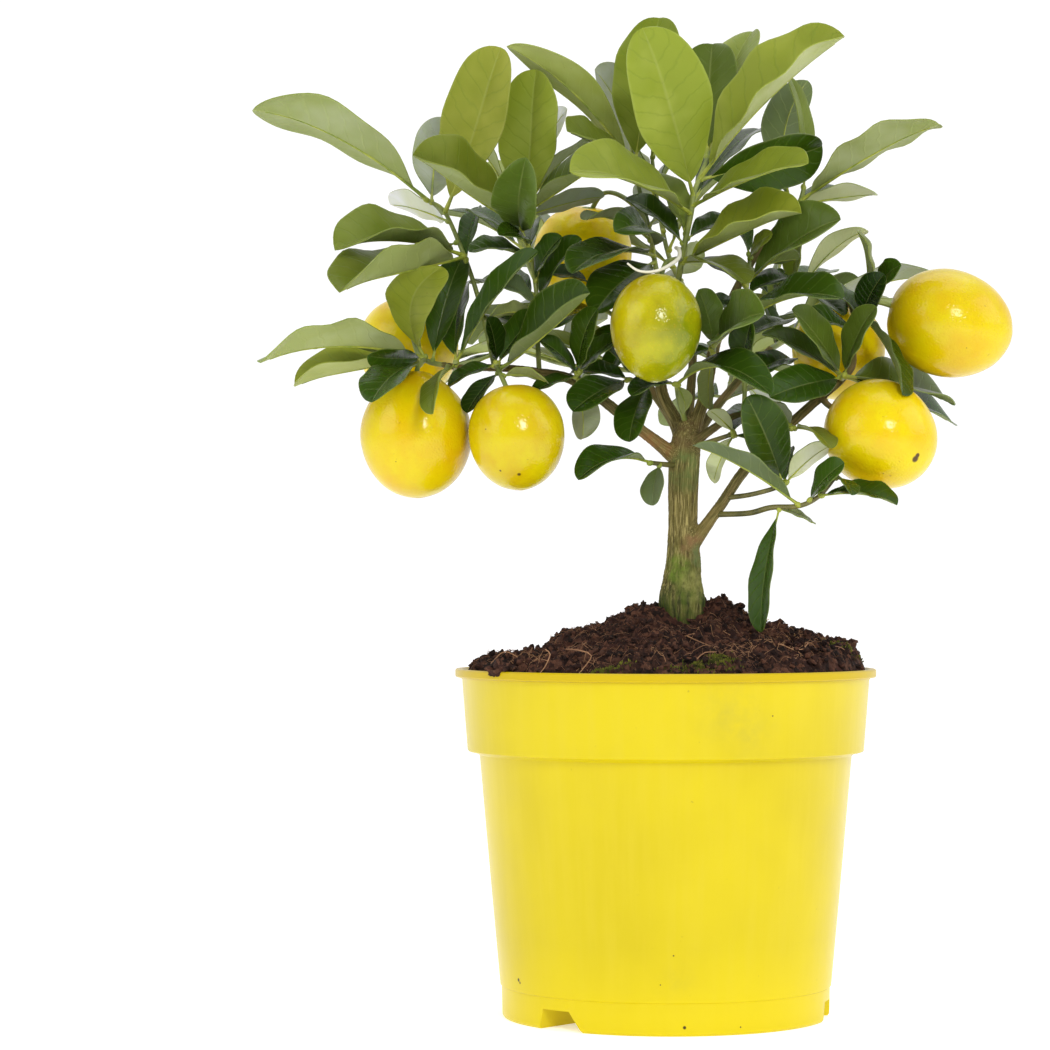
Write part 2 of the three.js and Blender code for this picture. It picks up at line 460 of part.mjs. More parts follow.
// A leaf with its stalk, one closed solid. first is the row it starts at.
function leafSolid(leaf, grow = 0, first = 0) {
  const { rows, upper, side } = leafRows(leaf);
  const lift = upper.clone().multiplyScalar(BLADE_THICK / 2 + grow);
  const points = [];
  const faces = [];
  const setDown = (row, way) => {
    const start = points.length;
    points.push(...row.map((point) => point.clone().addScaledVector(lift, way)));
    return Array.from(row, (_, i) => start + i);
  };
  const sheet = (from, to, flip) => {
    const both = [...from, ...to];
    for (const [a, b, c] of STRIPS[`${from.length}-${to.length}`]) {
      faces.push(both[a], both[flip ? c : b], both[flip ? b : c]);
    }
  };
  const quad = (a, b, c, d) => {
    if (a !== d) faces.push(a, c, d);
    if (b !== c) faces.push(a, b, c);
  };
  let last = null;
  for (const { at, half, rise } of rows.slice(first)) {
    const reach = side.clone().multiplyScalar((half + grow) * Math.cos(rise));
    const edge = at.clone().addScaledVector(upper, half * Math.sin(rise));
    const edges = [edge.clone().sub(reach), edge.clone().add(reach)];
    const stalk = rise === 0;
    const above = setDown(half === 0 ? [at] : stalk ? edges : [edges[0], at, edges[1]], 1);
    const below = setDown(half === 0 || stalk ? [at] : [edges[0], at, edges[1]], -1);
    if (last) {
      sheet(last.above, above, false);
      sheet(last.below, below, true);
      quad(last.above[0], above[0], below[0], last.below[0]);
      quad(last.below.at(-1), below.at(-1), above.at(-1), last.above.at(-1));
    } else {
      const under = (i) => below[Math.min(i, below.length - 1)];
      for (let i = 1; i < above.length; i += 1) quad(above[i - 1], under(i - 1), under(i), above[i]);
    }
    last = { above, below };
  }
  const geometry = new THREE.BufferGeometry();
  geometry.setFromPoints(points);
  geometry.setIndex(faces);
  return toSolid(geometry);
}

// ---- pot and soil
function turned(profile) {
  const points = profile.map(([r, z]) => new THREE.Vector2(r, z));
  return toSolid(new THREE.LatheGeometry(points, POT_SIDES).rotateX(Math.PI / 2));
}

// A straight drain channel running out under the pot wall, drawn out by grow on all sides.
function channel(angle, from, to, grow) {
  const [wide, narrow, high] = [CHANNEL_WIDE / 2 + grow, CHANNEL_NARROW / 2 + grow, CHANNEL_HEIGHT + grow];
  const section = new THREE.Shape([new THREE.Vector2(-wide, -1), new THREE.Vector2(wide, -1),
    new THREE.Vector2(wide, 0), new THREE.Vector2(narrow - CHANNEL_SHIFT, high),
    new THREE.Vector2(-narrow - CHANNEL_SHIFT, high), new THREE.Vector2(-wide, 0)]);
  const geometry = new THREE.ExtrudeGeometry(section, { depth: to - from, bevelEnabled: false });
  geometry.translate(0, 0, from).rotateX(Math.PI / 2).rotateZ(degrees(angle));
  return toSolid(geometry);
}

function drain(angle, radius) {
  const geometry = new THREE.CylinderGeometry(DRAIN_BORE / 2, DRAIN_BORE / 2, 8, 10);
  geometry.rotateX(Math.PI / 2).translate(0, -radius, CHANNEL_HEIGHT + 1).rotateZ(degrees(angle));
  return toSolid(geometry);
}

function makePot() {
  const wall = POT_WALL;
  let pot = turned([[0, 0], [FOOT_RADIUS - 0.8, 0], [FOOT_RADIUS, 0.8], [58.7, 10.2], [61.7, 40.7],
    [66.3, BAND_FOOT - 1.5], [70.4, BAND_FOOT - 0.3], [72.6, 120], [LIP_RADIUS, 120.7],
    [LIP_RADIUS, POT_HEIGHT], [72.4, POT_HEIGHT], [71, 120],
    [69, BAND_FOOT], [66.3 - wall, BAND_FOOT - 2.5], [61.7 - wall, 40.7], [57.2, 9],
    [56.6, wall], [0, wall]]);
  const inside = turned([[0, -2], [57.6, -2], [57.6, 12], [0, 12]]);
  for (const angle of CHANNEL_ANGLES) {
    pot = pot.add(channel(angle, CHANNEL_START - wall, 60, wall).intersect(inside)
      .subtract(turned([[0, -3], [70, -3], [70, 0], [0, 0]])));
  }
  for (const angle of CHANNEL_ANGLES) {
    pot = pot.subtract(channel(angle, CHANNEL_START, 80, 0));
    for (const radius of DRAIN_RADII) pot = pot.subtract(drain(angle, radius));
  }
  return pot;
}

function makeSoil(wood) {
  const gap = SOIL_GAP;
  const wall = POT_WALL + gap;
  const profile = [[0, POT_WALL + gap], [56.6 - gap, POT_WALL + gap], [57.2 - gap, 9], [61.7 - wall, 40.7],
    [66.3 - wall, BAND_FOOT - 2.5], [69 - gap - 0.2, BAND_FOOT + 0.4], ...MOUND, [0, MOUND_MIDDLE]];
  const geometry = new THREE.LatheGeometry(profile.map(([r, z]) => new THREE.Vector2(r, z)), POT_SIDES);
  geometry.rotateX(Math.PI / 2);
  const position = geometry.attributes.position;
  for (let i = 0; i < position.count; i += 1) {
    const [x, y, z] = [position.getX(i), position.getY(i), position.getZ(i)];
    if (z > POT_HEIGHT + 1 && Math.hypot(x, y) > 1) {
      const lump = Math.sin(x * 0.21 + 1.3) * Math.cos(y * 0.17 + 0.4) + 0.5 * Math.sin(x * 0.11 - y * 0.24);
      position.setZ(i, z + LUMP * lump);
    }
  }
  let soil = toSolid(geometry).subtract(wood);
  for (const angle of CHANNEL_ANGLES) {
    soil = soil.subtract(channel(angle, CHANNEL_START - wall, 80, wall));
  }
  return soil;
}

// ---- wood, fruits and tie
function makeWood(grow) {
  const limbs = Object.values(LIMBS).map((points) => rod(drawnSpine(points), LIMB_SIDES, grow));
  return joined([rod(drawnSpine(TRUNK), TRUNK_SIDES, grow), ...limbs]);
}

// Fruit about its own middle, nipple up its +Z end.
function fruitGeometry({ wide, long }, grow) {
  const points = [];
  for (let i = 0; i <= FRUIT_RINGS; i += 1) {
    const angle = -Math.PI / 2 + Math.PI * (i / FRUIT_RINGS);
    const taper = 1 - 0.05 * Math.sin(angle);
    const r = i % FRUIT_RINGS ? (wide + grow) * Math.cos(angle) ** 0.94 * taper : 0;
    points.push(new THREE.Vector2(r, (long + grow) * Math.sin(angle)));
  }
  return new THREE.LatheGeometry(points, FRUIT_SIDES).rotateX(Math.PI / 2);
}

function placeFruit(object, { middle, way }) {
  object.position.copy(onSight(middle));
  object.quaternion.setFromUnitVectors(vec(0, 0, 1), vec(...way).normalize());
  object.updateMatrix();
  return object;
}

// ---- leafy shoots
// The nearest point of a shoot's twigs to a point on the elevation, as [x, z, y].
function nearestOnTwigs(twigs, x, z) {
  let best = { far: Infinity };
  for (const twig of twigs) {
    for (let i = 1; i < twig.length; i += 1) {
      const [[ax, az, ay], [bx, bz, by]] = [twig[i - 1], twig[i]];
      const [dx, dz] = [bx - ax, bz - az];
      const along = ((x - ax) * dx + (z - az) * dz) / (dx * dx + dz * dz);
      const t = THREE.MathUtils.clamp(along, i === 1 ? TWIG_BARE : 0, TWIG_LAST);
      const point = [ax + dx * t, az + dz * t, ay + (by - ay) * t];
      const far = Math.hypot(point[0] - x, point[1] - z);
      if (far < best.far) best = { far, point };
    }
  }
  return best.point;
}

function drawnLeaf(twigs, [x0, z0, x1, z1, seen, turn, fold, bow, y1, sway = 0], shift) {
  const foot = onSight(nearestOnTwigs(twigs, x0, z0));
  const leaf = { foot, tip: onSight([x1, z1, y1 + shift]), bow, sway };
  [leaf.turn, leaf.fold] = [degrees(turn), degrees(fold)];
  const long = leaf.foot.distanceTo(leaf.tip);
  const edges = [0, Math.cos(leaf.turn - leaf.fold), -Math.cos(leaf.turn + leaf.fold)];
  const drawn = Math.max(...edges) - Math.min(...edges);
  leaf.wide = THREE.MathUtils.clamp((2 * seen) / drawn, NARROWEST * long, WIDEST * long);
  return leaf;
}

// Leaves set in a spiral up a back shoot, reaching outwards and a little up.
function spiralLeaf({ twig, leaves, first }, i, shift) {
  const t = 0.12 + (0.86 * i) / (leaves - 1);
  const place = Math.min(t * (twig.length - 1), twig.length - 1.001);
  const k = Math.floor(place);
  const [low, high] = [vec(...twig[k]), vec(...twig[k + 1])];
  const foot = low.clone().lerp(high, place - k);
  const along = high.sub(low).normalize();
  const around = GOLDEN_TURN * (i + first);
  const out = vec(Math.cos(around), 0.35 + Math.sin(around), 0).addScaledVector(along, 0.9).normalize();
  out.z += degrees(shift) * 1.5;
  const long = BACK_LEAF * (0.8 + 0.3 * scatter(i + first * 7));
  return { foot, tip: foot.clone().addScaledVector(out.normalize(), long), wide: 0.4 * long,
    turn: degrees(70 + 40 * scatter(i * 3 + first)), fold: degrees(16), bow: 0.1, sway: 0 };
}

const boxesMeet = (a, b) => [0, 1, 2].every((k) => a.min[k] <= b.max[k] && b.min[k] <= a.max[k]);

// True where a solid meets any of the others, or with blades set only their blades.
function crosses(solid, others, blades = false) {
  const box = solid.boundingBox();
  return others.some((other) => {
    if (!boxesMeet(box, other.box)) return false;
    const shared = solid.intersect(blades ? other.blade : other.solid);
    const meets = !shared.isEmpty();
    shared.delete();
    return meets;
  });
}

const listed = (solid, shoot, blade = solid) => ({ solid, shoot, blade, box: solid.boundingBox() });

// Each leaf keeps its place on the elevation, and its tip moves in depth until the leaf is clear.
function growLeaf(name, make, placed) {
  for (const shift of TIP_SHIFTS) {
    const leaf = make(shift);
    const near = placed.filter((one) => one.shoot === name);
    const far = placed.filter((one) => one.shoot !== name);
    if (crosses(leafSolid(leaf, CLEAR), far)) continue;
    if (crosses(leafSolid(leaf, CLEAR, 1), near, true)) continue;
    const solid = leafSolid(leaf);
    placed.push(listed(solid, name, leafSolid(leaf, 0, 1)));
    return solid;
  }
  throw new Error(`no clear place for a leaf of ${name}`);
}

function makeShoots(fixed, wood) {
  const twigs = {};
  for (const [name, shoot] of Object.entries(SHOOTS)) {
    twigs[name] = joined(shoot.twigs.map((twig) => rod(drawnSpine(twig), TWIG_SIDES))).subtract(wood);
  }
  for (const [name, { twig }] of Object.entries(BACK_SHOOTS)) {
    const spine = twig.map(([x, y, z, radius]) => ({ at: vec(x, y, z), radius }));
    twigs[name] = rod(spine, TWIG_SIDES).subtract(wood);
  }
  const placed = [...fixed, ...Object.entries(twigs).map(([name, twig]) => listed(twig, name))];
  const stems = {};
  const addLeaves = (name, rows) => {
    const { twigs: lines } = SHOOTS[name];
    const leaves = rows.map((row) => growLeaf(name, (shift) => drawnLeaf(lines, row, shift), placed));
    stems[name] = joined([stems[name] ?? twigs[name], ...leaves]);
  };
  for (const [name, { leaves }] of Object.entries(SHOOTS)) addLeaves(name, leaves);
  for (const [name, { inner = [] }] of Object.entries(SHOOTS)) addLeaves(name, inner);
  for (const [name, shoot] of Object.entries(BACK_SHOOTS)) {
    const leaves = Array.from({ length: shoot.leaves }, (_, i) => growLeaf(name,
      (shift) => spiralLeaf(shoot, i, shift), placed));
    stems[name] = joined([twigs[name], ...leaves]);
  }
  return stems;
}

// ---- the plant in its pot
const plant = new THREE.Group();
const addPiece = (name, geometry, material) => {
  const mesh = new THREE.Mesh(geometry, material);
  mesh.name = name;
  plant.add(mesh);
  return mesh;
};

const wood = makeWood(0);
const woodRoom = makeWood(CLEAR);
const pot = makePot();
const soil = makeSoil(woodRoom);
const fruitRooms = Object.values(FRUITS).map((fruit) => {
  const ghost = placeFruit(new THREE.Object3D(), fruit);
  return toSolid(fruitGeometry(fruit, CLEAR).applyMatrix4(ghost.matrix));
});
const tie = rod(drawnSpine(TIE), TIE_SIDES);
const fixed = [wood, pot, soil, tie, ...fruitRooms].map((solid) => listed(solid, 'fixed'));
const stems = makeShoots(fixed, joined([woodRoom, ...fruitRooms]));

addPiece('pot', toGeometry(pot), POT_PLASTIC);
addPiece('soil', toGeometry(soil), PEAT);
addPiece('trunk_and_limbs', toGeometry(fruitRooms.reduce((left, room) => left.subtract(room), wood)), BARK);
for (const [name, fruit] of Object.entries(FRUITS)) {
  placeFruit(addPiece(name, toGeometry(toSolid(fruitGeometry(fruit, 0))), PEEL), fruit);
}
addPiece('plant_tie', toGeometry(tie), CREAM);
for (const [name, stem] of Object.entries(stems)) addPiece(name, toGeometry(stem), LEAF);

export default plant;
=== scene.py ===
import math
import random

import bmesh
import bpy
import numpy as np
from mathutils import Matrix, Vector, kdtree, noise


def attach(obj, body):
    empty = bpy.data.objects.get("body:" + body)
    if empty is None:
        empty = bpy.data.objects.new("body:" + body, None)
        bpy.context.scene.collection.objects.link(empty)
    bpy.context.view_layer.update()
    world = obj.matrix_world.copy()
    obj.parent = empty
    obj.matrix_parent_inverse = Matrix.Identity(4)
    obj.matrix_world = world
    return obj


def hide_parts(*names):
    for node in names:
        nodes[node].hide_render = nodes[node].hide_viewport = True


# Potted limequat tree. Tables are in millimetres, Blender works in metres.
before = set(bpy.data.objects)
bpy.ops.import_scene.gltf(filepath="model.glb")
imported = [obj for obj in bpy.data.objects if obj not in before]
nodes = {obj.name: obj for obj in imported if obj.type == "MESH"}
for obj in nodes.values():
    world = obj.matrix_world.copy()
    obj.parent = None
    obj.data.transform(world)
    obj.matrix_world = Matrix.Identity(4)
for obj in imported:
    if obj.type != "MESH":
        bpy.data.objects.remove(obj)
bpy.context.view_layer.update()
mm = 0.001
scene = bpy.context.scene
scene.view_settings.view_transform = "Standard"


def setAll(item, **settings):
    for key, value in settings.items():
        setattr(item, key, value)
    return item


def deselectAll():
    if bpy.context.object and bpy.context.object.mode != "OBJECT":
        bpy.ops.object.mode_set(mode="OBJECT")
    bpy.ops.object.select_all(action="DESELECT")
    bpy.context.view_layer.objects.active = None


def pick(piece):
    deselectAll()
    piece.select_set(True)
    bpy.context.view_layer.objects.active = piece


def applyAll(piece):
    pick(piece)
    for modifier in list(piece.modifiers):
        bpy.ops.object.modifier_apply(modifier=modifier.name)


def settle(piece):  # place, turn and size go into the mesh
    pick(piece)
    bpy.ops.object.transform_apply(location=True, rotation=True, scale=True)
    return piece


def smooth(piece, degrees):
    pick(piece)
    bpy.ops.object.shade_smooth_by_angle(angle=math.radians(degrees))


def joinUp(pieces, name):
    deselectAll()
    for piece in pieces:
        piece.select_set(True)
    bpy.context.view_layer.objects.active = pieces[0]
    bpy.ops.object.join()
    pieces[0].name = name
    return pieces[0]


def finishPiece(piece, name, slot, *replaced, skin=None):
    piece.name = name
    if skin:
        piece.data.materials.clear()
        piece.data.materials.append(skin)
    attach(piece, "root")
    if replaced:
        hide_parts(*replaced)
    print(f"{name}: {len(piece.data.polygons)} faces")


def rounded(piece, *skins):  # every face shaded smooth
    piece.data.polygons.foreach_set("use_smooth", [True] * len(piece.data.polygons))
    for skin in skins:
        piece.data.materials.append(skin)
    return piece


def meshPiece(name, points, faces):
    mesh = bpy.data.meshes.new(name)
    mesh.from_pydata([tuple(p) for p in points], [], faces)
    mesh.update()
    piece = bpy.data.objects.new(name, mesh)
    scene.collection.objects.link(piece)
    return piece


def store(mesh, name, kind, values):  # an attribute with a value on every point
    field = {"FLOAT": "value", "FLOAT_VECTOR": "vector", "FLOAT_COLOR": "color"}[kind]
    mesh.attributes.new(name, kind, "POINT").data.foreach_set(field, np.array(values, np.float32).ravel())


def lookup(spots):  # finds the nearest of the spots
    finder = kdtree.KDTree(len(spots))
    for k, spot in enumerate(spots):
        finder.insert(spot, k)
    finder.balance()
    return finder


def scatter(n):  # a number from 0 to 1 for each n, the same on every run
    big = math.sin(n * 12.9898) * 43758.5453
    return big - math.floor(big)


eye = Vector((-50, -1193, 154))


def onSight(x, z, y):  # a point of the front elevation, carried along its sight line to its depth
    scale = (y - eye.y) / -eye.y
    return Vector((eye.x + (x - eye.x) * scale, y, eye.z + (z - eye.z) * scale))


def smoothLine(points, step):  # Catmull-Rom through rows of numbers, a point about every step mm
    points = [np.array(p, float) for p in points]
    ends = [2 * points[0] - points[1], *points, 2 * points[-1] - points[-2]]
    line = []
    for a, b, c, d in zip(ends, ends[1:], ends[2:], ends[3:]):
        count = max(2, int(np.linalg.norm((c - b)[:3]) / step))
        for k in range(count):
            t = k / count
            line.append(0.5 * (2 * b + (c - a) * t + (2 * a - 5 * b + 4 * c - d) * t * t
                               + (3 * b - a - 3 * c + d) * t ** 3))
    line.append(points[-1])
    return line


def rods(name, lines, sides=8):  # round rods along rows of x, y, z, radius in mm
    curve = setAll(bpy.data.curves.new(name, "CURVE"), dimensions="3D", bevel_depth=mm,
                   bevel_resolution=max(0, sides // 4 - 1), use_fill_caps=True)
    for line in lines:
        spline = curve.splines.new("POLY")
        spline.points.add(len(line) - 1)
        for point, (x, y, z, radius) in zip(spline.points, line):
            point.co = (x * mm, y * mm, z * mm, 1)
            point.radius = radius
    piece = bpy.data.objects.new(name, curve)
    scene.collection.objects.link(piece)
    pick(piece)
    bpy.ops.object.convert(target="MESH")
    return rounded(bpy.context.object)


def tint(code):  # "#rrggbb" to linear colour
    parts = [int(code[i:i + 2], 16) / 255 for i in (1, 3, 5)]
    return [p / 12.92 if p <= 0.04045 else ((p + 0.055) / 1.055) ** 2.4 for p in parts] + [1.0]


def newMaterial(name, **settings):  # the nodes that follow are put into its tree
    global tree
    material = bpy.data.materials.new(name)
    material.use_nodes = True
    tree = material.node_tree
    surface = tree.nodes["Principled BSDF"]
    for key, value in settings.items():
        surface.inputs[key.replace("_", " ")].default_value = value
    return material, surface


def feed(item, inputs):  # a socket is linked, any other value is set
    for key, value in inputs.items():
        if isinstance(value, bpy.types.NodeSocket):
            tree.links.new(value, item.inputs[key])
        else:
            item.inputs[key].default_value = value


def put(kind, inputs=None, **settings):
    item = setAll(tree.nodes.new("ShaderNode" + kind), **settings)
    feed(item, inputs or {})
    return item


def blendTo(factor, low, high, mode="MIX"):
    return put("Mix", {0: factor, 6: low, 7: high}, data_type="RGBA", blend_type=mode).outputs[2]


def layered(tone, *layers):  # colours laid over a tone, each by its own factor
    for factor, colour in layers:
        tone = blendTo(factor, tone, tint(colour) if isinstance(colour, str) else colour)
    return tone


def sums(operation, *values, clamp=False):
    return put("Math", dict(enumerate(values)), operation=operation, use_clamp=clamp).outputs[0]


def times(*values):
    return sums("MULTIPLY", *values)


def spread(value, low, high, toLow=0.0, toHigh=1.0):
    return put("MapRange", {"Value": value, "From Min": low, "From Max": high,
                            "To Min": toLow, "To Max": toHigh}).outputs[0]


def place(scale=(1, 1, 1), coords=None):  # object coordinates, or the given ones, stretched
    if coords is None:
        coords = put("TexCoord").outputs["Object"]
    return put("Mapping", {"Vector": coords, "Scale": scale}).outputs[0]


def axis(vector, letter):
    return put("SeparateXYZ", {"Vector": vector}).outputs[letter]


def stored(name, output):
    return put("Attribute", attribute_name=name).outputs[output]


def grain(where, scale, detail, rough=0.55):
    return put("TexNoise", {"Vector": where, "Scale": scale, "Detail": detail,
                            "Roughness": rough}).outputs["Fac"]


def clouds(where, scale, detail, low, high, toLow=0.0, toHigh=1.0, rough=0.55):
    return spread(grain(where, scale, detail, rough), low, high, toLow, toHigh)


def raised(height, strength, depth):
    return put("Bump", {"Height": height, "Strength": strength, "Distance": depth}).outputs[0]


def nearPoint(where, point, radius, core=0.6):  # 1 in the core of a blot, 0 outside it
    far = put("VectorMath", {0: where, 1: [p * mm for p in point]}, operation="DISTANCE")
    return spread(far.outputs["Value"], radius * mm, radius * core * mm)


# patches: scale, detail and range of the noise between the colours
# grit: scale, detail, strength and depth of the bump
def mottled(name, dark, light, patches, grit=None, **settings):  # two colours in patches, with a fine grit
    material, surface = newMaterial(name, **settings)
    where = place()
    feed(surface, {"Base Color": layered(tint(dark), (clouds(where, *patches), light))})
    if grit:
        feed(surface, {"Normal": raised(grain(where, *grit[:2]), *grit[2:])})
    return material


camera = {"place": (-0.0501, -1.193, 0.154), "tilt": 90.996, "lens": 114.4, "sensor": 36, "near": 0.01}
bpy.ops.object.camera_add(location=camera["place"], rotation=(math.radians(camera["tilt"]), 0, 0))
scene.camera = bpy.context.object
setAll(scene.camera.data, lens=camera["lens"], sensor_width=camera["sensor"], clip_start=camera["near"])

lights = {
    "key": {"place": (0.32, -1.38, 0.74), "size": 0.34, "power": 9.5},
    "left": {"place": (-1.3, -0.7, 0.8), "size": 1.1, "power": 7},
    "right": {"place": (1.3, -0.4, 0.9), "size": 1.1, "power": 6},
    "top": {"place": (0, 0.2, 1.5), "size": 1.4, "power": 8},
}
target = Vector((0, 0, 0.2))
for name, light in lights.items():
    aim = target - Vector(light["place"])
    bpy.ops.object.light_add(type="AREA", location=light["place"],
                             rotation=aim.to_track_quat("-Z", "Y").to_euler())
    lamp = bpy.context.object
    lamp.name = f"light_{name}"
    setAll(lamp.data, size=light["size"], energy=light["power"])

sky = {"front": 0.35, "back": 1.08}  # brightness of the studio behind the camera and behind the plant


def makeSky():
    global tree
    world = bpy.data.worlds.new("studio")
    world.use_nodes = True
    tree = world.node_tree
    way = axis(put("TexCoord").outputs["Generated"], "Y")
    feed(tree.nodes["Background"], {"Color": (1, 1, 1, 1),
                                    "Strength": spread(way, -0.8, 0.7, sky["front"], sky["back"])})
    return world


scene.world = makeSky()
floorLook = {"half": 60, "glow": 0.4}


def makeFloor():
    deselectAll()
    bpy.ops.mesh.primitive_grid_add(x_subdivisions=8, y_subdivisions=8, size=2 * floorLook["half"])
    floor = bpy.context.object
    floor.name = "white_table"
    floor.data.materials.append(mottled(
        "white_paper", "#f6f6f6", "#fbfbfb", (40, 4, 0, 1), Roughness=0.75, Specular_IOR_Level=0.2,
        Emission_Color=(1, 1, 1, 1), Emission_Strength=floorLook["glow"]))


makeFloor()
print("stage set")

pot = {
    "sides": 180,  # then radius and height of the turned rings
    "outside": [(58.2, 0.8), (58.45, 11), (58.95, 11.5), (61.7, 40.7), (66.3, 92.6), (66.9, 93.6),
                (70.2, 94.2), (70.6, 94.6), (72.55, 119.6), (73, 120.3), (74.7, 120.6), (75, 121),
                (75, 123), (74.6, 123.5)],
    "inside": [(72.9, 123.5), (72.5, 123.1), (71, 120), (69, 94.5), (64.8, 92), (60.2, 40.7),
               (57.2, 9), (56.6, 1.5)],
    "footIn": 0.6, "bevel": 0.25, "sharp": 50, "smooth": 35,
    "channels": [-41, 79, 199],  # directions of the drain channels, then their shape and the drain holes
    "high": 7, "wide": 20, "narrow": 12, "shift": 2, "start": 18, "end": 80, "wall": 1.5, "roofEnd": 62,
    "room": 57.4, "roomHigh": 12, "drains": [27, 44], "bore": 6, "boreLong": 8,
    # drawn x, z and radius of the dark specks and of the rubbed places
    "specks": [(-52.4, 12.4, 0.8), (-51.9, 11.4, 0.55), (6.8, -4.6, 0.7), (2.9, 21, 0.35), (-1.8, 10.6, 0.3),
               (26.8, -4.4, 0.35), (38.4, 106.5, 0.35)],
    "smears": [(22, 110, 17), (30, 100, 14), (3, 12, 9)],
}


def turnedBody(name, radius, base, rings, sides):  # a disc drawn up ring by ring to a closed body
    deselectAll()
    bpy.ops.mesh.primitive_circle_add(vertices=sides, radius=radius * mm, fill_type="NGON",
                                      location=(0, 0, base * mm))
    piece = bpy.context.object
    bpy.ops.object.transform_apply(location=True)
    bpy.ops.object.mode_set(mode="EDIT")
    bpy.ops.mesh.select_mode(type="FACE")
    bpy.ops.mesh.select_all(action="SELECT")
    last = (radius, base)
    for ring in rings:
        bpy.ops.mesh.extrude_region_move(TRANSFORM_OT_translate={"value": (0, 0, (ring[1] - last[1]) * mm)})
        bpy.ops.transform.resize(value=(ring[0] / last[0], ring[0] / last[0], 1),
                                 center_override=(0, 0, ring[1] * mm))
        last = ring
    bpy.ops.mesh.select_all(action="SELECT")
    bpy.ops.mesh.normals_make_consistent(inside=False)
    bpy.ops.object.mode_set(mode="OBJECT")
    piece.name = name
    return piece


def carve(target, tool, operation):
    setAll(target.modifiers.new("carve", "BOOLEAN"), operation=operation, object=tool, solver="EXACT")
    applyAll(target)
    bpy.data.objects.remove(tool)


def channelTool(angle, start, end, grow):  # sloping-sided bar that runs out under the wall
    deselectAll()
    bpy.ops.mesh.primitive_cube_add(size=1, location=(0, 0, 0))
    tool = bpy.context.object
    for vertex in tool.data.vertices:
        top = vertex.co.z > 0
        half = pot["narrow" if top else "wide"] / 2 + grow
        x = (half if vertex.co.x > 0 else -half) - (pot["shift"] if top else 0)
        vertex.co = Vector((x, -end if vertex.co.y < 0 else -start, pot["high"] + grow if top else -1)) * mm
    tool.rotation_euler.z = math.radians(angle)
    return settle(tool)


def makePot():
    shell = turnedBody("pot_shell", pot["outside"][0][0] - pot["footIn"], 0, pot["outside"] + pot["inside"],
                       pot["sides"])
    for angle in pot["channels"]:
        roof = channelTool(angle, pot["start"] - pot["wall"], pot["roofEnd"], pot["wall"])
        carve(roof, turnedBody("room", pot["room"], 0.01, [(pot["room"], pot["roomHigh"])], 90), "INTERSECT")
        carve(shell, roof, "UNION")
    for angle in pot["channels"]:
        carve(shell, channelTool(angle, pot["start"], pot["end"], 0), "DIFFERENCE")
        turn = math.radians(angle)
        for radius in pot["drains"]:
            deselectAll()
            bpy.ops.mesh.primitive_cylinder_add(
                vertices=24, radius=pot["bore"] / 2 * mm, depth=pot["boreLong"] * mm,
                location=(math.sin(turn) * radius * mm, -math.cos(turn) * radius * mm,
                          (pot["high"] + 1) * mm))
            carve(shell, settle(bpy.context.object), "DIFFERENCE")
    setAll(shell.modifiers.new("soft edges", "BEVEL"), width=pot["bevel"] * mm, segments=2,
           limit_method="ANGLE", angle_limit=math.radians(pot["sharp"]))
    applyAll(shell)
    smooth(shell, pot["smooth"])
    return shell


def onWall(x, z):  # the spot of the pot's wall behind a drawn point
    radii, heights = zip(*pot["outside"])
    spot = onSight(x, z, -60)
    for _ in range(4):
        radius = float(np.interp(spot.z, heights, radii))
        spot = onSight(x, z, -math.sqrt(max(0, radius ** 2 - spot.x ** 2)))
    return spot


def potPlastic():
    material, surface = newMaterial("pot_plastic", Specular_IOR_Level=0.08, Coat_Weight=0.3,
                                    Coat_Roughness=0.14)
    where = place()
    height = axis(where, "Z")
    blotches = grain(where, 18, 3)
    streaks = grain(place((260, 260, 6)), 1, 3)
    dust = times(clouds(where, 420, 2, 0.74, 0.8), spread(blotches, 0.4, 0.6, 0, 0.5))
    cloudy = clouds(where, 90, 6, 0.35, 0.7, 0, 0.3, 0.7)
    specks = [(nearPoint(where, onWall(x, z), radius), "#3b2a10") for x, z, radius in pot["specks"]]
    smears = [(times(nearPoint(where, onWall(x, z), radius, 0), cloudy), "#8f8a3c")
              for x, z, radius in pot["smears"]]
    tone = layered(
        tint("#c0ad00"), (spread(blotches, 0.35, 0.65), "#c9b602"),
        (spread(streaks, 0.42, 0.7, 0, 0.4), "#cbb820"),
        (clouds(place((1, 1, 1.6)), 55, 8, 0.66, 0.78, 0, 0.35, 0.7), "#c9b428"),
        (dust, "#8d7a1c"),
        (spread(height, 0.03, 0.006, 0, 0.7), "#dac500"),  # painted light: the foot made brighter, standing in for light bounced up from the floor
        (spread(height, 0.1197, 0.1206, 0, 0.8), "#b89c02"),  # darker lip from 120 mm up
        *specks, *smears)
    skin = sums("MULTIPLY_ADD", streaks, 0.6, grain(where, 900, 2))
    feed(surface, {"Base Color": tone, "Roughness": spread(blotches, 0.3, 0.7, 0.36, 0.48),
                   "Normal": raised(skin, 0.12, 0.0002)})
    return material


finishPiece(makePot(), "pot_shell", "pot_plastic", "pot", skin=potPlastic())

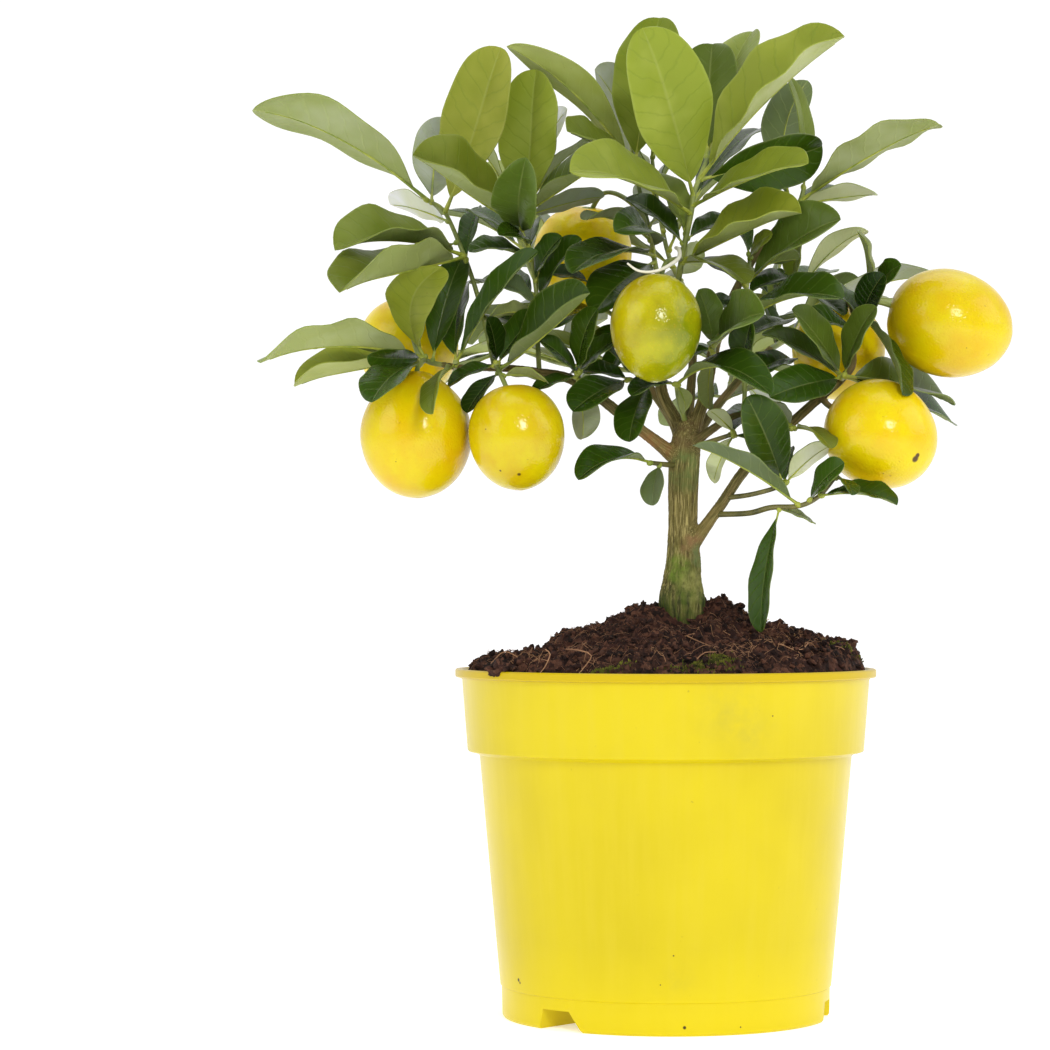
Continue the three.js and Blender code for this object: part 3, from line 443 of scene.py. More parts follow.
soil = {
    # radius and height of the mound to the front and back, to the left and to the right
    "across": [(0, 146), (10.5, 145.5), (21, 141.5), (33, 136.5), (46, 132.5), (59, 128.7), (67.5, 124.2),
               (71.6, 121.8)],
    "left": [(0, 145), (11, 144), (18, 139.5), (31, 135.5), (40, 134.2), (44, 128.3), (60, 127), (67, 125.8),
             (71.6, 121.8)],
    "right": [(0, 146), (19, 144.5), (29, 140), (43, 137), (47, 134.5), (60, 132), (66, 131), (69.5, 127.5),
              (71.6, 121.8)],
    "below": [(70.2, 116), (68.2, 95), (64, 91), (59.9, 40.7), (56.9, 9)],
    "lump": 0.9, "grid": 300, "edge": 71.6, "smooth": 60,
    "clods": [(7.5, 2.6), (3.1, 1.3), (1.5, 0.8)],  # spacing and height of the lumps, the crumbs and the grit
    # x, y, spread and height of the hollow in front of the trunk and of the heaps round it
    "heaps": [(6, -13, 7, -9), (21, 2, 6, 4), (-13, 2, 7, 2), (-34, -30, 8, 2), (44, -20, 9, 1.5)],
}


def soilHeight(x, y):
    radius = math.hypot(x, y)
    toSide = (x / max(radius, 0.1)) ** 2
    base = (1 - toSide) * float(np.interp(radius, *zip(*soil["across"])))
    base += toSide * float(np.interp(radius, *zip(*soil["right" if x > 0 else "left"])))
    for hx, hy, wide, rise in soil["heaps"]:
        base += rise * math.exp(-((x - hx) ** 2 + (y - hy) ** 2) / (2 * wide * wide))
    lump = math.sin(x * 0.21 + 1.3) * math.cos(y * 0.17 + 0.4) + 0.5 * math.sin(x * 0.11 - y * 0.24)
    clods = 0
    for spacing, rise in soil["clods"]:
        clods += rise * (0.55 - noise.voronoi(Vector((x / spacing, y / spacing, spacing)))[0][0])
    rough = noise.fractal(Vector((x, y, 0)) / 2.1, 0.6, 2.1, 5) * 1.5
    fade = min(1, max(0, (72.5 - radius) / 4))  # the edge lies flat against the pot
    return base + fade * (soil["lump"] * lump + clods + rough)


def makeSoil():
    deselectAll()
    bpy.ops.mesh.primitive_grid_add(x_subdivisions=soil["grid"], y_subdivisions=soil["grid"], size=2)
    bed = bpy.context.object
    for vertex in bed.data.vertices:
        u, v = vertex.co.x, vertex.co.y
        x = soil["edge"] * u * math.sqrt(1 - v * v / 2)
        y = soil["edge"] * v * math.sqrt(1 - u * u / 2)
        vertex.co = Vector((x, y, soilHeight(x, y))) * mm
    bpy.ops.object.mode_set(mode="EDIT")
    bpy.ops.mesh.select_mode(type="EDGE")
    bpy.ops.mesh.select_all(action="DESELECT")
    bpy.ops.mesh.select_non_manifold()
    last = soil["edge"]
    for radius, height in soil["below"]:
        bpy.ops.mesh.extrude_region_move()
        mesh = bmesh.from_edit_mesh(bed.data)
        for vertex in mesh.verts:
            if vertex.select:
                vertex.co = (vertex.co.x * radius / last, vertex.co.y * radius / last, height * mm)
        bmesh.update_edit_mesh(bed.data)
        last = radius
    bpy.ops.mesh.edge_face_add()
    bpy.ops.mesh.select_all(action="SELECT")
    bpy.ops.mesh.normals_make_consistent(inside=False)
    bpy.ops.object.mode_set(mode="OBJECT")
    smooth(bed, soil["smooth"])
    return bed


def soilPeat():
    material, surface = newMaterial("dark_peat", Roughness=0.95, Specular_IOR_Level=0.25)
    where = place()
    bits = put("TexVoronoi", {"Vector": where, "Scale": 520.0}).outputs
    shade = axis(bits["Color"], "X")
    tone = layered(tint("#1f0f0b"), (clouds(where, 110, 5, 0.35, 0.65), "#4b2d24"),
                   (clouds(where, 42, 3, 0.56, 0.4, 0, 0.8), "#150a07"),
                   (spread(shade, 0.55, 1, 0, 0.75), "#6d4836"),
                   (spread(shade, 0.4, 0, 0, 0.8), "#120907"),
                   (clouds(where, 900, 4, 0.6, 0.75, 0, 0.6), "#8a6349"))
    rough = sums("MULTIPLY_ADD", grain(where, 700, 6, 0.75), 0.8, times(bits["Distance"], -0.6))
    feed(surface, {"Base Color": tone, "Normal": raised(rough, 1.0, 0.0016)})
    return material


bed = makeSoil()
peat = soilPeat()
finishPiece(bed, "soil_bed", "peat", "soil", skin=peat)

crumbs = {"count": 2600, "sizes": (0.3, 1.7), "coarse": 0.9, "seed": 5, "reach": 69, "ring": (11, 71),
          "stretch": [(0.8, 1.3), (0.8, 1.2), (0.6, 0.9)], "up": 0.35, "smooth": 50,
          # x, y, z and size of the ones on the rim
          "onRim": [(-59.2, -43.4, 125, 2.5), (-57.4, -45, 124.8, 2.2), (-61, -41, 124.6, 2.2),
                    (-58.9, -45.4, 123.2, 1.8), (-60.8, -43.4, 122.8, 1.5), (-56.4, -47, 124.6, 1.5),
                    (-63, -36, 125, 1.8), (-54, -48, 124.8, 1.4)]}


def ballShape(steps):  # points and faces of a ball of radius 1, to be copied
    deselectAll()
    bpy.ops.mesh.primitive_ico_sphere_add(subdivisions=steps, radius=1)
    ball = bpy.context.object
    shape = [v.co.copy() for v in ball.data.vertices], [tuple(f.vertices) for f in ball.data.polygons]
    bpy.data.objects.remove(ball)
    return shape


def makeCrumbs():
    draw = random.Random(crumbs["seed"])
    spots = [Vector(row[:3]) for row in crumbs["onRim"]]
    sizes = [row[3] for row in crumbs["onRim"]]
    reach, (least, most) = crumbs["reach"], crumbs["sizes"]
    while len(spots) < crumbs["count"]:
        x, y = draw.uniform(-reach, reach), draw.uniform(-reach, reach)
        if crumbs["ring"][0] < math.hypot(x, y) < crumbs["ring"][1]:
            size = least + (most - least) * draw.random() ** 2.4
            spots.append(Vector((x, y, soilHeight(x, y) + size * crumbs["up"])))
            sizes.append(size)
    points, faces = [], []
    small, large = ballShape(1), ballShape(2)
    for spot, size in zip(spots, sizes):
        shape, sides = large if size > crumbs["coarse"] else small
        turn = Matrix.Rotation(draw.uniform(0, 6.28), 3, "Z") @ Matrix.Rotation(draw.uniform(0, 6.28), 3, "X")
        stretch = Vector([draw.uniform(*limits) for limits in crumbs["stretch"]])
        start = len(points)
        for p in shape:
            rough = 1 + 0.8 * noise.noise(p * 1.4 + spot) + 0.4 * noise.noise(p * 4 + spot)
            points.append((spot + turn @ (p * stretch) * size * rough) * mm)
        faces += [tuple(start + i for i in side) for side in sides]
    piece = meshPiece("soil_crumbs", points, faces)
    smooth(piece, crumbs["smooth"])
    return piece


finishPiece(makeCrumbs(), "soil_crumbs", "peat", skin=peat)

fibres = {
    "count": 260, "radius": (0.06, 0.14), "long": (5, 16), "hairs": 900, "hairRadius": (0.05, 0.09),
    "seed": 23, "reach": 69, "step": 1.6, "thick": 0.24, "bend": 0.16, "wander": 0.3, "lift": (0.4, 1.8),
    # the long roots that stand out: x and y of their points, and how far over the soil
    "drawn": [
        [(14, -13, 1.5), (16, -22, 0.6), (20, -30, 0.8), (26, -36, 0.5), (33, -40, 0.6)],
        [(5, -38, 0.6), (10, -45, 1.2), (15, -50, 0.8), (21, -54, 0.6)],
        [(-36, -52, 3.5), (-31, -56, 5.5), (-27.5, -58, 3.5), (-31, -61, 1.5), (-33, -64, 0.6)],
        [(-43, -46, 4.5), (-41.5, -50, 3), (-43.5, -55, 1.2), (-46, -58, 0.6)],
        [(-62, -28, 1.5), (-57, -33, 2.2), (-50, -38, 1)],
        [(48, -36, 3), (46, -41, 1.5), (44, -45, 0.8)],
        [(26, -28, 1), (31, -22, 2.2), (36, -17, 2.4)],
        [(30, -38, 0.8), (38, -41, 1.4), (45, -43, 0.8)],
        [(56, -34, 1.4), (60, -30, 2.6), (63, -25, 1)],
        [(8, -62, 0.6), (11, -59, 2), (16, -57, 1.2)],
    ],
}


def makeFibres():
    draw = random.Random(fibres["seed"])
    reach, step, root = fibres["reach"], fibres["step"], fibres["thick"]
    low, arch = fibres["lift"]
    lines = []
    for row in fibres["drawn"]:
        line = smoothLine([(x, y, soilHeight(x, y) + up) for x, y, up in row], step)
        lines.append([(*p, root - root / 2 * k / len(line)) for k, p in enumerate(line)])
    for n in range(fibres["count"] + fibres["hairs"]):
        hair = n >= fibres["count"]
        angle, radius = draw.uniform(0, 6.283), reach * math.sqrt(draw.uniform(0.04, 0.94))
        at = Vector((math.cos(angle) * radius, math.sin(angle) * radius))
        way, bend = draw.uniform(0, 6.283), draw.uniform(-fibres["bend"], fibres["bend"])
        thick = draw.uniform(*fibres["hairRadius" if hair else "radius"])
        row = []
        count = int(draw.uniform(*fibres["long"]) / step * (0.5 if hair else 1)) + 1
        for k in range(count):
            if at.length > reach:
                break
            lift = low + arch * math.sin(math.pi * k / count) * abs(noise.noise(Vector((at.x, at.y, 3)) / 4))
            row.append((at.x, at.y, soilHeight(at.x, at.y) + lift, thick * (1 - 0.5 * k / count)))
            way += bend + draw.uniform(-fibres["wander"], fibres["wander"])
            at += Vector((math.cos(way), math.sin(way))) * step
        if len(row) > 2:
            lines.append(row)
    return rods("root_fibres", lines, 4)


rootTan = {"patches": (60, 3, 0.35, 0.65), "grit": (1500, 2, 0.3, 0.0001), "Roughness": 0.8}
finishPiece(makeFibres(), "root_fibres", "peat", skin=mottled("dry_root", "#5a3323", "#b0835c", **rootTan))

moss = {
    "seed": 8, "tall": (0.4, 1.4), "thick": 0.2, "lean": 0.45, "edge": 71.2, "sunk": 0.2,
    # x, y, spread along and across, blades
    "patches": [(-27, -64, 11, 1.6, 900), (12, -64, 8, 2, 700), (17, -59, 5, 2, 300), (8, -66, 9, 1.5, 300),
                (61, -18, 5, 5, 500), (66, -12, 3, 4, 200)],
}


def makeMoss():
    draw = random.Random(moss["seed"])
    points, faces = [], []
    for x0, y0, wide, deep, count in moss["patches"]:
        for _ in range(count):
            x, y = x0 + draw.gauss(0, wide / 2), y0 + draw.gauss(0, deep / 2)
            if math.hypot(x, y) > moss["edge"]:
                continue
            foot = Vector((x, y, soilHeight(x, y) - moss["sunk"]))
            tall = draw.uniform(*moss["tall"])
            lean = Vector((draw.gauss(0, moss["lean"]), draw.gauss(0, moss["lean"]), 1)).normalized()
            side = Matrix.Rotation(draw.uniform(0, 6.28), 3, lean) @ lean.orthogonal().normalized()
            other = lean.cross(side)
            start, half, middle = len(points), tall * moss["thick"], foot + lean * tall * 0.5
            ring = [middle + side * half, middle + other * half, middle - side * half, middle - other * half]
            points += [p * mm for p in (foot, *ring, foot + lean * tall)]
            for k in range(4):
                a, b = start + 1 + k, start + 1 + (k + 1) % 4
                faces += [(start, b, a), (start + 5, a, b)]
    return meshPiece("moss_tufts", points, faces)


mossGreen = {"patches": (260, 4, 0.35, 0.65), "grit": (2000, 2, 0.4, 0.0002), "Roughness": 0.9,
             "Specular_IOR_Level": 0.2}
finishPiece(makeMoss(), "moss_tufts", "leaf", skin=mottled("moss", "#2b2f0e", "#6f7226", **mossGreen))
print("pot and soil done")

# the woody piece: drawn points x, z, y, radius
trunkLine = [(6.2, 96, 0, 7), (6.1, 140, 0, 8.2), (6, 148, 0, 8.5), (6.1, 155, 0, 7.1), (6.6, 163, 0, 6.2),
             (6.4, 177, 0, 5.3), (6.5, 190, 0, 5.5), (7.4, 203, 0, 5.5), (8, 209, 0, 4.6),
             (8.2, 213.5, 0, 2.6)]
limbs = {
    "left": [(4, 199, 0, 2.6), (-9, 209, -4, 2.1), (-31, 225.5, -8, 1.9), (-45, 229.5, -8, 1.5),
             (-60, 231, -5, 1.4), (-72, 231, -1, 1.2), (-80, 232.2, 1.5, 1.1)],
    "upLeft": [(6.5, 205, 1, 2.4), (4, 212, 2, 2.3), (-1, 222, 4, 2.2), (-2, 238, 8, 1.8), (2, 254, 6, 1.5),
               (5, 262, 3, 1.3)],
    "upRight": [(9.5, 206, 0, 2.4), (11.5, 213, -1, 2.4), (14.5, 222, 0, 2.2), (18, 240, 4, 2.1),
                (22, 250, 8, 1.9), (27, 262, 14, 1.5), (36, 276, 18, 1.2), (44, 286, 16, 1.1)],
    "right": [(9, 167, 0, 2.6), (12, 171, -2, 2.4), (20, 182, -4, 2), (29, 195, -8, 1.9), (44, 210, -9, 1.8),
              (55, 220, -7, 1.7), (62, 226, -4, 1.7), (67, 232, 0, 1.4), (67, 240, 3, 1.2)],
    "rightShort": [(10, 204, -2, 1.9), (14, 207, -5, 1.6), (23, 213, -8, 1.3), (29, 215, -9, 1.1)],
    "backLeft": [(6, 203, 2, 2.2), (2, 213, 14, 1.8), (-10, 230, 32, 1.5), (-22, 244, 44, 1.3)],
    "backMiddle": [(7, 207, 2, 2.2), (9, 220, 16, 1.8), (10, 240, 32, 1.5), (8, 258, 42, 1.3)],
    "backRight": [(9, 201, 2, 2.2), (14, 211, 14, 1.8), (26, 226, 32, 1.5), (38, 238, 44, 1.3)],
    "stalk7": [(56.5, 221, -6, 1.2), (57.5, 218.5, -10, 1.1), (66, 212, -14, 1.1)],
    "stalk8": [(67, 236, 2, 1.1), (68, 248, 8, 1), (65, 254.5, 18, 1), (62, 248, 27, 1)],
}
bark = {
    "voxel": 0.5, "ridge": 0.42, "twig": 0.12, "collar": 1.25, "collarLong": 12,
    # places where the bark has another colour: point, radius, colour
    "patches": [((7, -5, 194), 9, "#66763c"), ((8, -4, 208), 8, "#5e4a2c"), ((-4, -4, 203), 9, "#8a6238"),
                ((10, -4, 167), 6, "#8a6a45"), ((16, -4, 176), 8, "#7c6c3a"), ((12, -3, 164), 5, "#5d7440"),
                ((4, -6, 159), 6, "#6a8226"), ((10, -6, 153), 7, "#8f8d4c")],
}


def placedLine(drawn, step=1.0):
    return smoothLine([(*onSight(x, z, y), radius) for x, z, y, radius in drawn], step)


def grainAlong(lines):  # on every step of a line: its place, its axes with the way run so far, its radius
    spots, flows, thick = [], [], []
    for line in lines:
        run = 0
        for k, p in enumerate(line):
            ahead = Vector((line[min(k + 1, len(line) - 1)] - line[max(k - 1, 0)])[:3]).normalized()
            across = Vector((1, 0, 0)) - ahead * ahead.x
            if across.length <= 0.4:
                across = ahead.cross(Vector((0, 1, 0)))
            across.normalize()
            spots.append(Vector(p[:3]))
            flows.append((across, ahead.cross(across), run))
            thick.append(p[3])
            run += (Vector(line[min(k + 1, len(line) - 1)][:3]) - Vector(p[:3])).length
    return spots, flows, thick


def addBark(wood, lines):  # ridges that run with the wood
    spots, flows, thick = grainAlong(lines)
    finder = lookup(spots)
    mesh = wood.data
    normals = [v.normal.copy() for v in mesh.vertices]
    flow = np.zeros((len(mesh.vertices), 3), np.float32)
    age = np.zeros(len(mesh.vertices), np.float32)
    for i, vertex in enumerate(mesh.vertices):
        at = vertex.co / mm
        near = min(finder.find_n(at, 4), key=lambda found: found[2] - thick[found[1]])[1]
        across, over, run = flows[near]
        out = at - spots[near]
        flow[i] = (out.dot(across), out.dot(over), run)
        age[i] = min(1, max(0, (thick[near] - 1.2) / 4))
        coords = Vector((flow[i][0] * 2, flow[i][1] * 2, run * 0.1 + near // 400))
        ridges = abs(noise.noise(coords)) + 0.5 * abs(noise.noise(coords * 2.3))
        lift = (bark["twig"] + (bark["ridge"] - bark["twig"]) * age[i]) * (0.45 - ridges) * 1.6
        vertex.co += normals[i] * lift * mm
    store(mesh, "flow", "FLOAT_VECTOR", flow)
    store(mesh, "age", "FLOAT", age)


def makeWood():
    lines = [placedLine(trunkLine)]
    for points in limbs.values():
        line = placedLine(points)
        for k, p in enumerate(line[:bark["collarLong"]]):  # a collar where a limb leaves the trunk
            p[3] *= 1 + (bark["collar"] - 1) * (1 - k / bark["collarLong"]) ** 2
        lines.append(line)
    wood = rods("trunk_wood", lines, 16)
    setAll(wood.modifiers.new("one skin", "REMESH"), mode="VOXEL", voxel_size=bark["voxel"] * mm)
    setAll(wood.modifiers.new("soft joints", "SMOOTH"), factor=0.5, iterations=3)
    applyAll(wood)
    addBark(wood, lines)
    return rounded(wood)


def limeBark():
    material, surface = newMaterial("lime_bark", Roughness=0.8, Specular_IOR_Level=0.3)
    flow, age, where = stored("flow", "Vector"), stored("age", "Fac"), place()
    streak = grain(place((1, 1, 0.07), flow), 0.9, 5, 0.65)
    hair = grain(place((3.2, 3.2, 0.16), flow), 0.9, 4, 0.6)
    old = layered(tint("#524820"), (spread(streak, 0.38, 0.62), "#7e743d"),
                  (spread(hair, 0.5, 0.62, 0, 0.85), "#b5a668"),
                  (spread(hair, 0.46, 0.34, 0, 0.6), "#3d3216"))
    young = layered(tint("#4d5020"), (spread(streak, 0.4, 0.65), "#7a6440"))
    # the trunk darker green towards the soil, below 172 mm
    darkGreenFoot = layered(tint("#27330f"), (spread(streak, 0.4, 0.6), "#4d5c19"))
    foot = times(spread(axis(where, "Z"), 0.172, 0.15), clouds(where, 110, 4, 0.3, 0.6, 0, 0.96))
    fleck = clouds(where, 320, 5, 0.38, 0.62, 0.1, 0.8, 0.65)
    patches = [(times(nearPoint(where, point, radius), fleck), code)
               for point, radius, code in bark["patches"]]
    tone = layered(young, (spread(age, 0.05, 0.4), old), (foot, darkGreenFoot), *patches)
    feed(surface, {"Base Color": tone, "Normal": raised(sums("ADD", hair, streak), 0.7, 0.0005)})
    return material


finishPiece(makeWood(), "trunk_wood", "bark", "trunk_and_limbs", skin=limeBark())

# middle: drawn x, z, y. wide and long: half the width and the length. way: from stalk to nipple.
# ripe: 1 is full yellow. marks: drawn x, z and radius of small brown spots.
# light: painted light, the peel made brighter on fruits that sit in the shade of leaves.
# shade: how much greener the peel turns to the right and towards the nipple; the nipple end is partly painted
# shade.
fruits = {
    "fruit_1": {"middle": (-89, 205.5, -13), "wide": 19.7, "long": 21.2, "way": (0.05, -0.1, -1), "neck": 3,
                "marks": [(-96.4, 197.3, 0.45), (-88, 192, 0.4), (-101.6, 189.6, 0.5), (-84, 211, 0.35)]},
    "fruit_2": {"middle": (-53, 205.8, -27), "wide": 16.8, "long": 18.5, "way": (0.1, -0.1, -1), "ripe": 0.88,
                "shade": 0.1, "marks": [(-52.2, 192.6, 0.9), (-59, 194, 0.6), (-62, 215, 0.5),
                                        (-64, 209, 0.4), (-49, 198, 0.35)]},
    "fruit_3": {"middle": (-91.8, 237.5, 31), "wide": 18.3, "long": 19, "way": (0, 0.3, -1), "ripe": 0.9,
                "light": 1.3},
    "fruit_4": {"middle": (-29.5, 270.5, 32), "wide": 18, "long": 18.6, "way": (-0.1, 0.2, -1),
                "light": 1.42},
    "fruit_5": {"middle": (-3.3, 245, -33), "wide": 15.9, "long": 19, "way": (-0.04, -0.05, -1), "ripe": 0.5,
                "shade": 0.46, "full": 1.06, "marks": [(-7, 234, 0.4)]},
    "fruit_6": {"middle": (102.3, 246.7, 5), "wide": 19.3, "long": 22.5, "way": (0.95, -0.15, -0.25),
                "marks": [(108, 238, 0.4)]},
    "fruit_7": {"middle": (77.6, 206.8, -16), "wide": 19, "long": 20.3, "way": (0.72, -0.42, -0.5),
                "light": 1.08, "marks": [(89.7, 198.2, 1.6), (90.4, 199.6, 1.1), (78, 193, 0.35)]},
    "fruit_8": {"middle": (62, 236.5, 27), "wide": 17, "long": 17.6, "way": (-0.05, 0.25, -1), "ripe": 0.9,
                "light": 1.15},
}
peel = {
    "around": 72, "rings": 44, "full": 0.94, "taper": 0.05, "uneven": 0.006, "back": 0.4,
    # height in mm and width in radians of the nipple, the scar in it and the hollow round the stalk
    "nipple": (0.3, 0.16), "scar": (-0.5, 0.04), "hollow": (1.25, 0.14), "neckWide": 0.5,
}
calyx = {"radius": 3.4, "lobes": 5, "lobed": 0.28, "steps": 20, "top": 1.2, "sunk": 1.0,
         "rings": [(1, 0.15), (0.95, 0.7), (0.4, 1.1)]}  # share of the radius, how far it stands out


def bump(angle, high, wide):
    return high * math.exp(-(angle / wide) ** 2)


def makeFruit(name, fruit):
    deselectAll()
    bpy.ops.mesh.primitive_uv_sphere_add(segments=peel["around"], ring_count=peel["rings"], radius=1)
    piece = bpy.context.object
    middle = onSight(*fruit["middle"])
    turn = Vector((0, 0, 1)).rotation_difference(Vector(fruit["way"]).normalized()).to_matrix()
    for vertex in piece.data.vertices:
        x, y, z = vertex.co
        angle = math.asin(max(-1, min(1, z)))
        r = fruit["wide"] * max(0, math.cos(angle)) ** fruit.get("full", peel["full"])
        r *= 1 - peel["taper"] * math.sin(angle)
        around = math.atan2(y, x)
        fromTip, fromStalk = math.pi / 2 - angle, math.pi / 2 + angle
        spot = Vector((r * math.cos(around), r * math.sin(around), fruit["long"] * math.sin(angle)))
        spot *= 1 + peel["uneven"] * noise.noise(spot / 7 + middle)
        spot.z += bump(fromTip, *peel["nipple"]) + bump(fromTip, *peel["scar"]) - peel["back"]
        spot.z += bump(fromStalk, *peel["hollow"]) - bump(fromStalk, fruit.get("neck", 0), peel["neckWide"])
        vertex.co = (turn @ spot + middle) * mm
    inverse = turn.inverted()
    flat = [(inverse @ (v.co / mm - middle)) / fruit["long"] for v in piece.data.vertices]
    store(piece.data, "peelSpot", "FLOAT_VECTOR", flat)
    return joinUp([rounded(piece, limePeel(name, fruit)), makeCalyx(fruit, turn, middle)], name)


def makeCalyx(fruit, turn, middle):  # five blunt lobes pressed to the stalk end
    spots, faces, steps = [], [], calyx["steps"]
    for k in range(steps):
        angle = 2 * math.pi * k / steps
        far = calyx["radius"] * (1 - calyx["lobed"] + calyx["lobed"] * math.cos(calyx["lobes"] * angle))
        for share, lift in calyx["rings"]:
            x, y = math.cos(angle) * far * share, math.sin(angle) * far * share
            bow = fruit["long"] * math.sqrt(max(0, 1 - (far * share / fruit["wide"]) ** 2))
            spots.append((x, y, -bow + calyx["sunk"] - lift))
        a, b = 3 * k, 3 * ((k + 1) % steps)
        faces += [(a, a + 1, b + 1, b), (a + 1, a + 2, b + 2, b + 1), (a + 2, 3 * steps, b + 2)]
    spots.append((0, 0, -fruit["long"] + calyx["sunk"] - calyx["top"]))
    points = [(turn @ Vector(spot) + middle) * mm for spot in spots]
    return rounded(meshPiece("calyx", points, faces), stemGreen)


def onFruit(fruit, x, z):  # the spot of the peel behind a drawn point
    middle, way = onSight(*fruit["middle"]), Vector(fruit["way"]).normalized()
    for k in range(120):
        spot = onSight(x, z, middle.y - 1.2 * fruit["long"] + 0.4 * k)
        run = (spot - middle).dot(way)
        if ((spot - middle).length_squared - run * run) / fruit["wide"] ** 2 + (run / fruit["long"]) ** 2 < 1:
            return spot
    return middle


def limePeel(name, fruit):
    material, surface = newMaterial(
        f"peel_{name}", Coat_Weight=0.6, Coat_Roughness=0.14, Specular_IOR_Level=0.02,
        Subsurface_Weight=0.08, Subsurface_Scale=0.004, Subsurface_Radius=(1.0, 0.7, 0.1))
    spot, where = stored("peelSpot", "Vector"), place()
    broad = grain(spot, 1.7, 3)
    yellow = layered(tint("#cdb804"), (spread(broad, 0.35, 0.68), "#caa604"))
    green = layered(tint("#989a08"), (spread(broad, 0.35, 0.65), "#6f7a06"))
    middle, wide, shade = onSight(*fruit["middle"]).x, fruit["wide"], fruit.get("shade", 0)
    greenerSide = spread(axis(where, "X"), (middle - wide) * mm, (middle + wide * 0.6) * mm, 0, shade)
    # the green share: the peel's own unripe green (1 - ripe and the greener side) plus painted shade, greener
    # and darker towards the nipple by shade / 3
    unripeAndShade = sums("ADD", sums("MULTIPLY_ADD", axis(spot, "Z"), shade / 3, greenerSide),
                  1 - fruit.get("ripe", 1), clamp=True)
    # painted light: the peel tone scaled up by light on fruits in the shade of leaves
    light = fruit.get("light", 1)
    tone = blendTo(1.0, blendTo(unripeAndShade, yellow, green), (light, light, light, 1), "MULTIPLY")
    pores = put("TexVoronoi", {"Vector": where, "Scale": 900.0}).outputs["Distance"]
    marks = [(nearPoint(where, onFruit(fruit, x, z), radius), "#4a3408")
             for x, z, radius in fruit.get("marks", ())]
    tone = layered(tone, (spread(pores, 0.1, 0.35, 0.22, 0), "#c9a400"),
                   (clouds(where, 330, 3, 0.7, 0.76, 0, 0.6, 0.6), "#9b7a14"), *marks)
    skin = raised(sums("MULTIPLY_ADD", grain(where, 260, 2), 0.7, spread(pores, 0, 0.5)), 0.22, 0.0003)
    feed(surface, {"Base Color": tone, "Roughness": spread(broad, 0.3, 0.7, 0.34, 0.44),
                   "Normal": skin, "Coat Normal": skin})
    return material


greens = {"patches": (150, 4, 0.35, 0.65), "grit": (900, 3, 0.3, 0.0002), "Roughness": 0.5}
stemGreen = mottled("leaf_stalk", "#6f8024", "#a3a83a", **greens)
twigGreen = mottled("green_twig", "#5a682c", "#8c9546", **greens)
twigBrown = mottled("brown_twig", "#4a4a20", "#716b36", **greens)
for name, fruit in fruits.items():
    finishPiece(makeFruit(name, fruit), name.replace("fruit", "limequat"), "peel", name)
print("fruits done")

tie = {
    # drawn points x, z, y, radius
    "line": [(-13.5, 268.5, -34, 0.35), (-10, 266, -34, 0.45), (-6, 265.3, -34, 0.55), (-2, 266, -33, 0.6),
             (2, 268, -27, 0.7), (4.9, 270.4, -20, 0.75), (5.2, 272.8, -12, 0.75), (4.4, 273.9, -5, 0.75),
             (4.1, 273.9, 0.6, 0.7), (6.3, 273.4, 3.5, 0.6)],
    "skin": {"patches": (300, 3, 0, 1), "grit": (1500, 3, 0.2, 0.0001), "Roughness": 0.55},
}
finishPiece(rods("tie_curl", [placedLine(tie["line"], 0.8)], 12), "tie_curl", "tie", "plant_tie",
            skin=mottled("tie_cream", "#d2cdb4", "#ece9da", **tie["skin"]))

